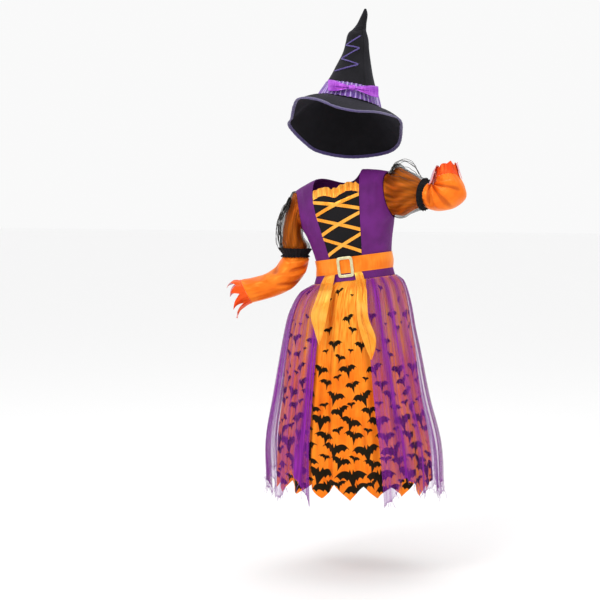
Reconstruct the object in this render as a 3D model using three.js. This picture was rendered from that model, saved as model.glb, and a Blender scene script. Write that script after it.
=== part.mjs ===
// A child's witch costume: a dress with a laced bodice, sheer puffed sleeves over satin ones,
// a belt with a buckle and a gathered skirt under open net, and its pointed hat.
// Both are hollow cloth, in the shape that they take when they are worn.
// Millimetres, +Z up. The dress faces -Y, and the origin is midway between its shoulders.
// Left and right are the dress's own, so that +X is its left.
import * as THREE from 'three';

const { PI } = Math;
const degrees = PI / 180;

// Cloth and seams.
const SEAM_GAP = 0.35;
const BODICE_CLOTH = 1.2;
const SATIN = 1.1;
const SHEER = 1;
const NET_CLOTH = 1;
const FELT = 2.2;

// The waist's middle, and how far the bodice leans to the right, at the waist and the shoulders.
const WAIST = new THREE.Vector3(37, 0, -229);
const WAIST_TO_SHOULDER = 232;
const LEAN_AT_WAIST = 7.5 * degrees;
const LEAN_AT_SHOULDER = 12 * degrees;
// The sleeves and the hat are turned to the left, and the net's opening somewhat less.
const SLEEVES_TURN = 18 * degrees;
const SKIRT_TURN = 8 * degrees;

// Half sizes of the bodice's rings. Level 0 is the waist and 1 the top of the shoulders.
const TORSO = [
  { level: -0.2, halfWidth: 104, halfDepth: 86 },
  { level: 0, halfWidth: 94, halfDepth: 78 },
  { level: 0.25, halfWidth: 104, halfDepth: 84 },
  { level: 0.48, halfWidth: 119, halfDepth: 91 },
  { level: 0.7, halfWidth: 125, halfDepth: 90 },
  { level: 1, halfWidth: 127, halfDepth: 86 },
];
const SHOULDER_DROP = 26;
const TURNS_OVER_AT = 0.6;
const ARMHOLE = { lowest: 0.43, highest: 0.995, halfAngle: 28 * degrees };

// The front panel's half width at the waist and at the neck, and where its edges stop widening.
const PANEL = { waist: 39, neck: 61, widestAt: 0.72 };
const BODICE_FOOT = 0.05;
const NECKLINE = { dip: 0.672, side: 0.69, lobe: 0.018 };
const BACK_NECK = 0.8;
const RUFFLE = { height: 0.072, waves: 18, depth: 1.5 };

// Ribbon lacing: heights above the waist where it meets the panel's edges.
const LACING = { heights: [172, 127, 76, 24], apart: 10.4, width: 8.6, thick: 1 };

const WAISTBAND = { top: 0.045, bottom: -0.165 };
const BELT = { halfHeight: 19.5, offset: 3.2, thick: 1.3 };
const BUCKLE = { width: 41, height: 51, bar: 6.5, corner: 4, thick: 2.6, bevel: 0.6, drop: 4 };

// Half sizes of the skirts' rings, in millimetres down from the waist, and how far they hang aside.
const UNDERSKIRT = [
  { down: 38, halfWidth: 102, halfDepth: 83, fold: 1.2, shift: 0 },
  { down: 62, halfWidth: 126, halfDepth: 104, fold: 3.5, shift: -7 },
  { down: 105, halfWidth: 140, halfDepth: 119, fold: 5, shift: -9 },
  { down: 215, halfWidth: 157, halfDepth: 137, fold: 6.5, shift: -9 },
  { down: 330, halfWidth: 170, halfDepth: 150, fold: 8, shift: -7 },
  { down: 440, halfWidth: 185, halfDepth: 163, fold: 9.5, shift: -3 },
  { down: 590, halfWidth: 192, halfDepth: 170, fold: 11, shift: 2 },
];
const NET = [
  { down: 38, halfWidth: 105.5, halfDepth: 86.5, fold: 1, shift: 0 },
  { down: 56, halfWidth: 130, halfDepth: 115, fold: 3, shift: -7 },
  { down: 105, halfWidth: 150, halfDepth: 135, fold: 4.5, shift: -10 },
  { down: 160, halfWidth: 162, halfDepth: 147, fold: 5.5, shift: -11 },
  { down: 215, halfWidth: 173, halfDepth: 156, fold: 6, shift: -10 },
  { down: 330, halfWidth: 194, halfDepth: 172, fold: 7.5, shift: -8 },
  { down: 440, halfWidth: 217, halfDepth: 188, fold: 9, shift: -3 },
  { down: 540, halfWidth: 220, halfDepth: 190, fold: 10, shift: 1 },
  { down: 620, halfWidth: 219, halfDepth: 189, fold: 10, shift: 2 },
];
const WAISTBAND_DOWN = 38.9;
const UNDER_HEM = { down: 545, point: 21, points: 17 };
const NET_HEM = { down: 548, point: 24, points: 13, long: 26 };
// The net is open in front, wider at the hem than at the waist.
const NET_OPENING = { waist: 21.5 * degrees, hem: 27.5 * degrees, corner: 32 };
const NET_CLOSE = { distance: 4.5, share: 0.22, within: 65 * degrees };
const UNDER_FOLDS = { count: 18, seed: 0.6 };
const NET_FOLDS = { count: 20, seed: 2.1 };

// The belt's hanging ends, over the skirts' front: how far each edge is to the right of the origin,
// seen in the sleeves' turned frame, at each height, and how far the cloth stands off.
const TAIL_CLEARANCE = 2;
const RIGHT_TAIL = [
  { up: -250, from: -31.6, to: -13.3, lift: 2 },
  { up: -269, from: -45.1, to: -18.4, lift: 2.5 },
  { up: -311, from: -62.3, to: -28.4, lift: 3 },
  { up: -349, from: -74.4, to: -35.8, lift: 3 },
  { up: -387, from: -64.8, to: -44.3, lift: 3 },
  { up: -418, from: -56, to: -53.1, lift: 3 },
];
const LEFT_TAIL = [
  { up: -249, from: 29.1, to: 47.3, lift: 2 },
  { up: -280, from: 37.2, to: 59, lift: 2.5 },
  { up: -316, from: 35.6, to: 61, lift: 3 },
  { up: -354, from: 36.5, to: 64.3, lift: 3 },
  { up: -394, from: 46, to: 79.7, lift: 3 },
  { up: -420, from: 55.5, to: 80.8, lift: 3 },
  { up: -451, from: 68.4, to: 71.8, lift: 3 },
];

// Rings of the sleeves and the hat, in their turned frame: how far right and up of the
// origin their two outline points are, how far forward their middle is, half their depth,
// and how far they tip about the line between the two points.
const RIGHT_SHEER = [
  { outRight: -135, outUp: -84, inRight: -95, inUp: -147, forward: -36, halfDepth: 47, tip: 0 },
  { outRight: -147, outUp: -128, inRight: -90, inUp: -166, forward: -35, halfDepth: 46, tip: 0 },
  { outRight: -152, outUp: -166, inRight: -79, inUp: -180, forward: -32, halfDepth: 42, tip: 0 },
  { outRight: -151, outUp: -188, inRight: -76, inUp: -191, forward: -29, halfDepth: 37, tip: 0 },
  { outRight: -144, outUp: -203, inRight: -81, inUp: -204, forward: -28, halfDepth: 31, tip: 0 },
];
const RIGHT_SATIN = [
  { outRight: -142, outUp: -210, inRight: -83, inUp: -210, forward: -28, halfDepth: 29, tip: 0 },
  { outRight: -152, outUp: -224, inRight: -79, inUp: -224, forward: -27, halfDepth: 35, tip: 0 },
  { outRight: -164, outUp: -240, inRight: -84, inUp: -243, forward: -25, halfDepth: 37, tip: 0 },
  { outRight: -181, outUp: -252, inRight: -96, inUp: -266, forward: -21, halfDepth: 37, tip: 0 },
  { outRight: -204, outUp: -261, inRight: -120, inUp: -291, forward: -15, halfDepth: 37, tip: 0 },
  { outRight: -228, outUp: -266, inRight: -157, inUp: -309, forward: -9, halfDepth: 36, tip: 0 },
  { outRight: -249, outUp: -270, inRight: -221, inUp: -327, forward: -2, halfDepth: 33, tip: 0 },
];
const RIGHT_CUFF = [
  { outRight: -250, outUp: -270.5, inRight: -222, inUp: -327.5, forward: -2, halfDepth: 33, tip: 0 },
  { outRight: -268, outUp: -271, inRight: -240, inUp: -338, forward: 0, halfDepth: 39, tip: 0 },
  { outRight: -284, outUp: -278, inRight: -252, inUp: -354, forward: 1, halfDepth: 43, tip: 0 },
  { outRight: -292, outUp: -290, inRight: -258, inUp: -376, forward: 2, halfDepth: 46, tip: 0 },
];
const LEFT_SHEER = [
  { outRight: 136, outUp: 17, inRight: 152, inUp: -116, forward: 53, halfDepth: 46, tip: -25 },
  { outRight: 158, outUp: 6, inRight: 168, inUp: -106, forward: 68, halfDepth: 45, tip: -32 },
  { outRight: 182, outUp: -8, inRight: 182, inUp: -98, forward: 80, halfDepth: 41, tip: -35 },
  { outRight: 202, outUp: -19, inRight: 196, inUp: -93, forward: 88, halfDepth: 35, tip: -35 },
  { outRight: 208, outUp: -27, inRight: 202, inUp: -87, forward: 92, halfDepth: 30, tip: -34 },
];
const LEFT_SATIN = [
  { outRight: 211, outUp: -30, inRight: 206, inUp: -86, forward: 95, halfDepth: 28, tip: -33 },
  { outRight: 217, outUp: -32, inRight: 219, inUp: -94, forward: 99, halfDepth: 36, tip: -24 },
  { outRight: 220, outUp: -33, inRight: 243, inUp: -96, forward: 102, halfDepth: 42, tip: -13 },
  { outRight: 222, outUp: -34, inRight: 274, inUp: -89, forward: 104, halfDepth: 44, tip: -2 },
  { outRight: 223, outUp: -31, inRight: 301, inUp: -67, forward: 101, halfDepth: 44, tip: 10 },
  { outRight: 225, outUp: -30, inRight: 300, inUp: -44, forward: 97, halfDepth: 42, tip: 18 },
  { outRight: 226, outUp: -24, inRight: 288, inUp: -20, forward: 90, halfDepth: 37, tip: 28 },
];
const LEFT_CUFF = [
  { outRight: 226, outUp: -23.6, inRight: 288, inUp: -19.6, forward: 89.7, halfDepth: 37, tip: 28 },
  { outRight: 229, outUp: 0, inRight: 283, inUp: 10, forward: 78, halfDepth: 36, tip: 34 },
  { outRight: 216, outUp: 2, inRight: 294, inUp: 28, forward: 68, halfDepth: 42, tip: 38 },
  { outRight: 199, outUp: -8, inRight: 306, inUp: 48, forward: 58, halfDepth: 50, tip: 40 },
];
const CUFF_POINTS = { right: 8, left: 8 };
const ELBOW_BAND = { waves: 13, depth: 1.1, flare: 2.2, lift: 0.4 };

const CROWN = [
  { outRight: -56, outUp: 186, inRight: 98, inUp: 152, forward: 15, halfDepth: 88, tip: 4 },
  { outRight: -34, outUp: 221, inRight: 87, inUp: 200, forward: 7, halfDepth: 66, tip: 4 },
  { outRight: -17, outUp: 251, inRight: 78, inUp: 247, forward: -1, halfDepth: 50, tip: 4 },
  { outRight: 2, outUp: 288, inRight: 72, inUp: 288, forward: -9, halfDepth: 36, tip: 3 },
  { outRight: 12, outUp: 319, inRight: 70, inUp: 320, forward: -16, halfDepth: 29, tip: 4 },
  { outRight: 18, outUp: 342, inRight: 65, inUp: 344, forward: -20, halfDepth: 23, tip: 2 },
  { outRight: 31, outUp: 353, inRight: 63, inUp: 354, forward: -22, halfDepth: 17, tip: 0 },
  { outRight: 43, outUp: 370, inRight: 65, inUp: 372, forward: -24, halfDepth: 11.5, tip: 0 },
  { outRight: 52, outUp: 389, inRight: 67, inUp: 390, forward: -26, halfDepth: 7.5, tip: 0 },
  { outRight: 58, outUp: 402, inRight: 64.5, inUp: 402, forward: -27, halfDepth: 3.2, tip: 0 },
];
const LINING_PEAK = 4.5;
// The brim's edge, by the angle round the hat from its right, through its front.
const BRIM_EDGE = [
  { angle: 5, right: -124, up: 132, forward: 20, rise: 5 },
  { angle: 25, right: -117, up: 162, forward: 60, rise: 6 },
  { angle: 45, right: -103, up: 176, forward: 104, rise: 6 },
  { angle: 65, right: -60, up: 170, forward: 150, rise: 5 },
  { angle: 80, right: -13, up: 150, forward: 185, rise: 4 },
  { angle: 95, right: 30, up: 141, forward: 195, rise: 2 },
  { angle: 120, right: 78, up: 140, forward: 168, rise: 2 },
  { angle: 143, right: 114, up: 135, forward: 122, rise: 3 },
  { angle: 165, right: 143, up: 127, forward: 66, rise: 4 },
  { angle: 190, right: 152, up: 106, forward: 15, rise: 5 },
  { angle: 215, right: 147, up: 66, forward: -38, rise: 8 },
  { angle: 240, right: 112, up: 45, forward: -74, rise: 10 },
  { angle: 270, right: 26, up: 36, forward: -92, rise: 12 },
  { angle: 300, right: -55, up: 50, forward: -80, rise: 12 },
  { angle: 325, right: -95, up: 76, forward: -54, rise: 8 },
  { angle: 345, right: -130, up: 114, forward: -18, rise: 5 },
];
const PIPING_RADIUS = 2.2;
const HAT_BAND = { top: 0.95, waves: 22, depth: 1.1, thick: 1.2 };
const BOW = { up: 201, right: 25, forward: 94.8, pinch: 4.5, drop: 0.14, thick: 1.1 };
const BOW_LOOPS = { right: { length: 49, halfWidth: 14 }, left: { length: 57, halfWidth: 14 } };
// The crown's zigzag cord: turns as places right and up on the front of the crown.
const HAT_CORD = [
  { right: 47, up: 333 },
  { right: 12, up: 311 },
  { right: 46, up: 303 },
  { right: 0, up: 277 },
  { right: 43, up: 261 },
  { right: -15, up: 246 },
];
const HAT_CORD_RADIUS = 1.6;

// Torn black gauze at each shoulder: a strip that stands off the sleeve, and its loose strands.
const GAUZE_RISE = 0.85;
const GAUZE = { strands: 12, width: 0.045, thick: 2, spread: 0.9 };
const GAUZE_ROWS = 6;

const COLOURS = {
  purple: 0x6b2077,
  black: 0x17161a,
  orange: 0xf47b16,
  gold: 0xf2a93b,
  sheer: 0x6f3516,
  cuff: 0xec4a1b,
  net: 0x8a2b8f,
  metal: 0xdcd3ae,
  bow: 0xa23fc4,
  band: 0x5a2f93,
};

const clamp = (value, low, high) => Math.min(Math.max(value, low), high);
const mix = (a, b, share) => a + (b - a) * share;
const smooth = (share) => {
  const t = clamp(share, 0, 1);
  return t * t * (3 - 2 * t);
};
const range = (count, from, to) =>
  Array.from({ length: count + 1 }, (_, i) => mix(from, to, i / count));
const turnsOf = (count) => range(count, 0, 2 * PI).slice(0, count);

// A smooth curve through the values before, a, b and after, between a and b.
function curve(before, a, b, after, t) {
  const [slopeA, slopeB] = [(b - before) / 2, (after - a) / 2];
  const [t2, t3] = [t * t, t * t * t];
  return (
    a * (2 * t3 - 3 * t2 + 1) + slopeA * (t3 - 2 * t2 + t) + b * (3 * t2 - 2 * t3) + slopeB * (t3 - t2)
  );
}

// Reads every column of a table at a value of its key column, smoothly between the rows.
function read(rows, key, value) {
  const last = rows.length - 1;
  let i = 0;
  while (i < last - 1 && value > rows[i + 1][key]) i += 1;
  const near = [Math.max(i - 1, 0), i, i + 1, Math.min(i + 2, last)].map((k) => rows[k]);
  const span = near[2][key] - near[1][key];
  const t = clamp((value - near[1][key]) / span, 0, 1);
  const result = {};
  for (const column of Object.keys(rows[0])) {
    const slope = (from, to) =>
      (near[to][column] - near[from][column]) / Math.max(near[to][key] - near[from][key], 1e-6);
    const [a, b] = [near[1][column], near[2][column]];
    result[column] = curve(b - 2 * slope(0, 2) * span, a, b, a + 2 * slope(1, 3) * span, t);
  }
  return result;
}

// A point of the sleeves' and hat's frame, which is turned about the vertical.
function turned(right, up, forward) {
  const [c, s] = [Math.cos(SLEEVES_TURN), Math.sin(SLEEVES_TURN)];
  return new THREE.Vector3(right * c + forward * s, right * s - forward * c, up);
}

// A point of the leaning bodice, from its place across, its depth and its height over the waist.
function onBody(across, depth, height) {
  const straightens = height < 0 ? smooth((height + 160) / 120) : 1;
  const bends = clamp(height / WAIST_TO_SHOULDER, 0, 2);
  const lean = mix(LEAN_AT_WAIST, LEAN_AT_SHOULDER, bends) * straightens;
  const spine = height > 0 ? (LEAN_AT_WAIST + lean) / 2 : 0;
  return new THREE.Vector3(
    WAIST.x + across * Math.cos(lean) - height * Math.sin(spine),
    depth,
    WAIST.z + across * Math.sin(lean) + height * Math.cos(spine),
  );
}

// How high a level of the bodice is over the waist, before the shoulders' slope, and the reverse.
function heightOf(level) {
  const over = (Math.max(0, level - TURNS_OVER_AT) / (1 - TURNS_OVER_AT)) * (PI / 2);
  const share = Math.min(level, TURNS_OVER_AT) + (1 - TURNS_OVER_AT) * Math.sin(over);
  return WAIST_TO_SHOULDER * share;
}
function levelOf(height) {
  const share = height / WAIST_TO_SHOULDER;
  const over = Math.asin(clamp((share - TURNS_OVER_AT) / (1 - TURNS_OVER_AT), 0, 1)) / (PI / 2);
  return Math.min(share, TURNS_OVER_AT) + (1 - TURNS_OVER_AT) * over;
}

// The bodice's outer surface. The angle is 0 at the centre front and grows to its left.
function torso(angle, level) {
  const ring = read(TORSO, 'level', level);
  const over = (Math.max(0, level - TURNS_OVER_AT) / (1 - TURNS_OVER_AT)) * (PI / 2);
  const across = ring.halfWidth * Math.sin(angle);
  const depth = -ring.halfDepth * Math.cos(over) * Math.cos(angle);
  const slope = SHOULDER_DROP * smooth((level - 0.45) / 0.55) * Math.sin(angle) ** 2;
  return onBody(across, depth, heightOf(level) - slope);
}

const torsoWidth = (level) => read(TORSO, 'level', level).halfWidth;
const angleAcross = (across, level) => Math.asin(clamp(across / torsoWidth(level), -1, 1));

// How far the armhole's edge is from the side, as an angle, at a level.
function armholeAt(level) {
  const middle = (ARMHOLE.lowest + ARMHOLE.highest) / 2;
  const half = (ARMHOLE.highest - ARMHOLE.lowest) / 2;
  return ARMHOLE.halfAngle * Math.sqrt(Math.max(0, 1 - ((level - middle) / half) ** 2));
}

// The armhole as a loop: from the shoulder, down the front and up the back.
function armhole(side, turn) {
  const middle = (ARMHOLE.lowest + ARMHOLE.highest) / 2;
  const half = (ARMHOLE.highest - ARMHOLE.lowest) / 2;
  const angle = side * (PI / 2 - ARMHOLE.halfAngle * Math.sin(turn));
  return { angle, level: middle + half * Math.cos(turn) };
}

// A ring of a sleeve or the hat, from its row of a table.
function ring(row) {
  const half = [(row.outRight - row.inRight) / 2, (row.outUp - row.inUp) / 2];
  const length = Math.hypot(half[0], half[1]);
  const along = [half[1] / length, -half[0] / length];
  const [c, s] = [Math.cos(row.tip * degrees), Math.sin(row.tip * degrees)];
  return (turn) => {
    const [a, b] = [Math.cos(turn), Math.sin(turn) * row.halfDepth];
    return turned(
      (row.outRight + row.inRight) / 2 + half[0] * a + along[0] * b * s,
      (row.outUp + row.inUp) / 2 + half[1] * a + along[1] * b * s,
      row.forward + b * c,
    );
  };
}

// A surface through loops, smooth along it. The second value counts the loops.
function loft(loops) {
  const last = loops.length - 1;
  return (turn, along) => {
    const i = clamp(Math.floor(along), 0, last - 1);
    const near = [Math.max(i - 1, 0), i, i + 1, Math.min(i + 2, last)].map((k) => loops[k](turn));
    const axes = ['x', 'y', 'z'].map((axis) => curve(...near.map((p) => p[axis]), along - i));
    return new THREE.Vector3(...axes);
  };
}

// A loop drawn in towards its middle, or out of it if the distance is negative.
function drawnIn(loop, distance) {
  const middle = new THREE.Vector3();
  for (const turn of turnsOf(16)) middle.addScaledVector(loop(turn), 1 / 16);
  return (turn) => {
    const point = loop(turn);
    return point.addScaledVector(middle.clone().sub(point).normalize(), distance);
  };
}

// A surface moved along its own normal, away from a point inside it.
function lifted(surface, inside, distance) {
  const step = 1e-3;
  return (u, v) => {
    const point = surface(u, v);
    const along = (du, dv) => surface(u + du, v + dv).sub(surface(u - du, v - dv));
    const normal = along(step, 0).cross(along(0, step)).normalize();
    const middle = typeof inside === 'function' ? inside(u, v) : inside;
    if (normal.dot(point.clone().sub(middle)) < 0) normal.negate();
    return point.addScaledVector(normal, typeof distance === 'function' ? distance(u, v) : distance);
  };
}

function geometryOf(points, faces) {
  const position = new Float32Array(points.flatMap((p) => [p.x, p.y, p.z]));
  let volume = 0;
  for (const [a, b, c] of faces) {
    volume += points[a].dot(points[b].clone().cross(points[c]));
  }
  const index = faces.flatMap(([a, b, c]) => (volume < 0 ? [a, c, b] : [a, b, c]));
  const geometry = new THREE.BufferGeometry();
  geometry.setAttribute('position', new THREE.BufferAttribute(position, 3));
  geometry.setIndex(index);
  geometry.computeVertexNormals();
  return geometry;
}

// A cloth wall between two skins, sampled on the same grid. Each skin is a function of u and v.
// Only the grid's kept cells are built, so that a strip can end in strands.
function wall(outer, inner, us, vs, closed = false, kept = () => true) {
  const [columns, rows] = [us.length, vs.length];
  const points = [outer, inner].flatMap((skin) => vs.flatMap((v) => us.map((u) => skin(u, v))));
  const at = (skin, i, j) => skin * columns * rows + j * columns + (i % columns);
  const across = closed ? columns : columns - 1;
  const built = (i, j) => {
    if (j < 0 || j > rows - 2) return false;
    if (!closed && (i < 0 || i >= across)) return false;
    return kept((i + across) % across, j);
  };
  const faces = [];
  const quad = (a, b, c, d) => faces.push([a, b, c], [a, c, d]);
  for (let i = 0; i < across; i += 1) {
    for (let j = 0; j < rows - 1; j += 1) {
      if (!built(i, j)) continue;
      quad(at(0, i, j), at(0, i + 1, j), at(0, i + 1, j + 1), at(0, i, j + 1));
      quad(at(1, i, j), at(1, i, j + 1), at(1, i + 1, j + 1), at(1, i + 1, j));
      if (!built(i, j - 1)) quad(at(0, i, j), at(1, i, j), at(1, i + 1, j), at(0, i + 1, j));
      if (!built(i, j + 1)) quad(at(0, i, j + 1), at(0, i + 1, j + 1), at(1, i + 1, j + 1), at(1, i, j + 1));
      if (!built(i - 1, j)) quad(at(0, i, j), at(0, i, j + 1), at(1, i, j + 1), at(1, i, j));
      if (!built(i + 1, j)) quad(at(0, i + 1, j), at(1, i + 1, j), at(1, i + 1, j + 1), at(0, i + 1, j + 1));
    }
  }
  return geometryOf(points, faces);
}

// A cloth wall of one thickness whose outer skin is the surface itself.
function cloth(surface, inside, thick, us, vs, closed = false) {
  return wall(lifted(surface, inside, 0), lifted(surface, inside, -thick), us, vs, closed);
}

// A rod of a few sides through points, tapering between two radii.
function rod(points, fromRadius, toRadius, sides, closed = false) {
  const count = points.length;
  const rings = points.map((point, i) => {
    const before = closed ? points[(i + count - 1) % count] : points[Math.max(i - 1, 0)];
    const after = closed ? points[(i + 1) % count] : points[Math.min(i + 1, count - 1)];
    const forward = after.clone().sub(before).normalize();
    const steady = Math.abs(forward.z) < 0.9 ? new THREE.Vector3(0, 0, 1) : new THREE.Vector3(0, 1, 0);
    const sideways = steady.cross(forward).normalize();
    const upwards = forward.clone().cross(sideways);
    const radius = mix(fromRadius, toRadius, i / (count - 1));
    return turnsOf(sides).map((turn) =>
      point
        .clone()
        .addScaledVector(sideways, radius * Math.cos(turn))
        .addScaledVector(upwards, radius * Math.sin(turn)),
    );
  });
  const faces = [];
  for (let i = 0; i < (closed ? count : count - 1); i += 1) {
    for (let k = 0; k < sides; k += 1) {
      const [a, b] = [i * sides, ((i + 1) % count) * sides];
      const next = (k + 1) % sides;
      faces.push([a + k, a + next, b + next], [a + k, b + next, b + k]);
    }
  }
  for (let k = 1; k < sides - 1 && !closed; k += 1) {
    const end = (count - 1) * sides;
    faces.push([0, k + 1, k], [end, end + k, end + k + 1]);
  }
  return geometryOf(rings.flat(), faces);
}

const costume = new THREE.Group();
costume.name = 'witch_costume';

function add(name, geometry, color, roughness = 0.8, metalness = 0) {
  const mesh = new THREE.Mesh(geometry, new THREE.MeshStandardMaterial({ color, roughness, metalness }));
  mesh.name = name;
  costume.add(mesh);
  return mesh;
}

// The middle of the bodice at a level, for telling a surface's outside from its inside.
function coreAt(level) {
  return onBody(0, 0, heightOf(level));
}

// How far across the front panel's edge is at a level.
const panelEdge = (level) => mix(PANEL.waist, PANEL.neck, Math.min(1, level / PANEL.widestAt));

// The neckline's level across the front: two lobes and a dip between them.
function neckline(across) {
  const share = Math.abs(across) / PANEL.neck;
  const lobe = NECKLINE.lobe * Math.sin(PI * Math.min(1, share));
  return mix(NECKLINE.dip, NECKLINE.side, smooth(share * 1.6)) + lobe;
}

function buildFrontPanel() {
  const surface = (share, rise) => {
    const level = mix(BODICE_FOOT, neckline(share * PANEL.neck), rise);
    const edge = angleAcross(panelEdge(level) - SEAM_GAP, level);
    return torso(edge * share, level);
  };
  const geometry = cloth(surface, coreAt(0.4), BODICE_CLOTH, range(8, -1, 1), range(6, 0, 1));
  add('bodice_front_panel', geometry, COLOURS.black);
}

function buildNeckRuffle() {
  const surface = (share, rise) => {
    const foot = neckline(share * PANEL.neck) + 0.003;
    const level = foot + RUFFLE.height * rise * (0.92 + 0.08 * Math.cos(share * PI * 5));
    const edge = angleAcross(panelEdge(level) - 2 * SEAM_GAP, level);
    return torso(edge * share, level);
  };
  const gather = (share, rise) => RUFFLE.depth * (1 + rise) * Math.cos(share * PI * RUFFLE.waves);
  const core = coreAt(0.4);
  const outer = lifted(surface, core, (u, v) => gather(u, v) + RUFFLE.depth);
  const inner = lifted(surface, core, (u, v) => gather(u, v) + RUFFLE.depth - SATIN);
  const geometry = wall(outer, inner, range(RUFFLE.waves * 2, -1, 1), range(2, 0, 1));
  add('neckline_ruffle', geometry, COLOURS.gold, 0.45);
}

// A panel between two angles at each level, on one side of the bodice.
function bodicePanel(side, fromAngle, toAngle, levels, nudge) {
  const surface = (share, level) => {
    const point = torso(side * mix(fromAngle(level), toAngle(level), share), level);
    point.y += nudge;
    return point;
  };
  return cloth(surface, coreAt(0.45), BODICE_CLOTH, range(6, 0, 1), levels);
}

const BODICE_LEVELS = [BODICE_FOOT, 0.18, 0.31, ARMHOLE.lowest, 0.5, 0.6, 0.7, BACK_NECK];
const SHOULDER_LEVELS = [0.86, 0.93, 0.97, 0.992];

function buildBodice() {
  const gap = SEAM_GAP / 2 / TORSO[1].halfWidth;
  const levels = [...BODICE_LEVELS, ...SHOULDER_LEVELS];
  for (const [name, side] of [['right', -1], ['left', 1]]) {
    const sideFront = (level) => PI / 2 - armholeAt(level) - gap;
    const frontEdge = (level) => angleAcross(panelEdge(level), level);
    const front = bodicePanel(side, frontEdge, sideFront, levels, -SEAM_GAP / 2);
    add(`bodice_front_${name}`, front, COLOURS.purple);
    const neckEdge = (level) => {
      const rise = clamp((level - BACK_NECK) / (1 - BACK_NECK), 0, 1);
      return PI - Math.max(gap, angleAcross(PANEL.neck * Math.sqrt(rise), level));
    };
    const sideBack = (level) => PI / 2 + armholeAt(level) + gap;
    const back = bodicePanel(side, sideBack, neckEdge, levels, SEAM_GAP / 2);
    add(`bodice_back_${name}`, back, COLOURS.purple);
  }
}

// One ribbon of the lacing, from one edge of the panel to the other. The upper ones arch over.
function buildLacing() {
  const { heights, apart, width, thick } = LACING;
  const core = coreAt(0.4);
  for (let i = 0; i < heights.length - 1; i += 1) {
    for (const [name, side] of [['under', -1], ['over', 1]]) {
      const ends = [heights[i] - apart / 2, heights[i + 1] + apart / 2];
      const surface = (share, across) => {
        const height = mix(ends[0], ends[1], share) + across * (width / 2);
        const level = levelOf(height);
        const edge = angleAcross(panelEdge(level) - 1, level);
        return torso(side * edge * (1 - 2 * share), level);
      };
      const arch = (share) => (side > 0 ? 1.7 * smooth(1 - Math.abs(share - 0.5) / 0.28) : 0);
      const lift = (share) => 0.9 + arch(share);
      const outer = lifted(surface, core, (u) => lift(u) + thick);
      const inner = lifted(surface, core, (u) => lift(u));
      const shares = [0, 0.15, 0.29, 0.4, 0.5, 0.6, 0.71, 0.85, 1];
      add(`lacing_${i + 1}_${name}`, wall(outer, inner, shares, [-1, 1]), COLOURS.gold, 0.4);
    }
  }
}

// A straight ring round the waist, a distance out from it.
function beltAt(distance) {
  const { halfWidth, halfDepth } = read(TORSO, 'level', 0);
  return (angle, height) =>
    onBody((halfWidth + distance) * Math.sin(angle), -(halfDepth + distance) * Math.cos(angle), height);
}

function buildWaist() {
  const core = coreAt(0);
  const around = turnsOf(32);
  const levels = range(2, WAISTBAND.bottom, WAISTBAND.top);
  add('waistband', cloth(torso, core, BODICE_CLOTH, around, levels, true), COLOURS.purple);
  const { halfHeight, offset, thick } = BELT;
  const belt = wall(beltAt(offset + thick), beltAt(offset), around, [-halfHeight, halfHeight], true);
  add('belt', belt, COLOURS.orange, 0.5);
}

function roundedRectangle(path, halfWidth, halfHeight, corner) {
  const [w, h] = [halfWidth - corner, halfHeight - corner];
  path.absarc(w, h, corner, 0, PI / 2);
  path.absarc(-w, h, corner, PI / 2, PI);
  path.absarc(-w, -h, corner, PI, 1.5 * PI);
  path.absarc(w, -h, corner, 1.5 * PI, 2 * PI);
  path.closePath();
  return path;
}

function buildBuckle() {
  const { width, height, bar, corner, thick, bevel } = BUCKLE;
  const outline = roundedRectangle(new THREE.Shape(), width / 2 - bevel, height / 2 - bevel, corner);
  outline.holes.push(roundedRectangle(new THREE.Path(), width / 2 - bar, height / 2 - bar, 1));
  const geometry = new THREE.ExtrudeGeometry(outline, {
    depth: thick - 2 * bevel,
    bevelThickness: bevel,
    bevelSize: bevel,
    bevelSegments: 1,
    curveSegments: 1,
  });
  geometry.deleteAttribute('normal');
  geometry.deleteAttribute('uv');
  const mesh = add('buckle', geometry, COLOURS.metal, 0.3, 0.9);
  const front = torso(0, 0);
  mesh.rotation.set(PI / 2, -LEAN_AT_WAIST, 0, 'YXZ');
  mesh.position.set(front.x, front.y - BELT.offset - BELT.thick - SEAM_GAP - bevel, front.z - BUCKLE.drop);
}

// Uneven folds round the skirt, from -1 to 1.
function folds(angle, { count, seed }, down) {
  const wander = 1.1 * Math.sin(2 * angle + seed) + 0.7 * Math.sin(5 * angle + 2 * seed);
  const drift = 0.5 * Math.sin(down / 170 + 2 * angle + seed);
  const strength = 0.78 + 0.22 * Math.sin(3 * angle + 2.4 * seed);
  return strength * Math.sin(count * angle + wander + drift);
}

// A point of a skirt, at an angle round it, a distance down, and a distance out from its ring.
function hanging(rows, angle, down, out) {
  const row = read(rows, 'down', down);
  const radius = Math.hypot(row.halfWidth * Math.cos(angle), row.halfDepth * Math.sin(angle));
  const across = (row.halfWidth + (out * row.halfDepth) / radius) * Math.sin(angle) + row.shift;
  const depth = -(row.halfDepth + (out * row.halfWidth) / radius) * Math.cos(angle);
  return onBody(across, depth, -down);
}

const skirtCore = new THREE.Vector3(WAIST.x, 0, WAIST.z - 260);

function zigzag(angle, points) {
  const phase = ((angle * points) / (2 * PI) + 100) % 1;
  return 1 - 4 * Math.abs(phase - 0.5);
}

function underskirt(angle, share) {
  const point = UNDER_HEM.point * (0.8 + 0.2 * Math.sin(5 * angle + 1));
  const hem = UNDER_HEM.down + point * zigzag(angle, UNDER_HEM.points);
  const down = mix(WAISTBAND_DOWN, hem, share);
  const { fold } = read(UNDERSKIRT, 'down', down);
  return hanging(UNDERSKIRT, angle, down, fold * folds(angle, UNDER_FOLDS, down));
}

const SKIRT_SHARES = [0, 0.045, 0.13, 0.32, 0.58, 0.82, 1];

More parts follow.
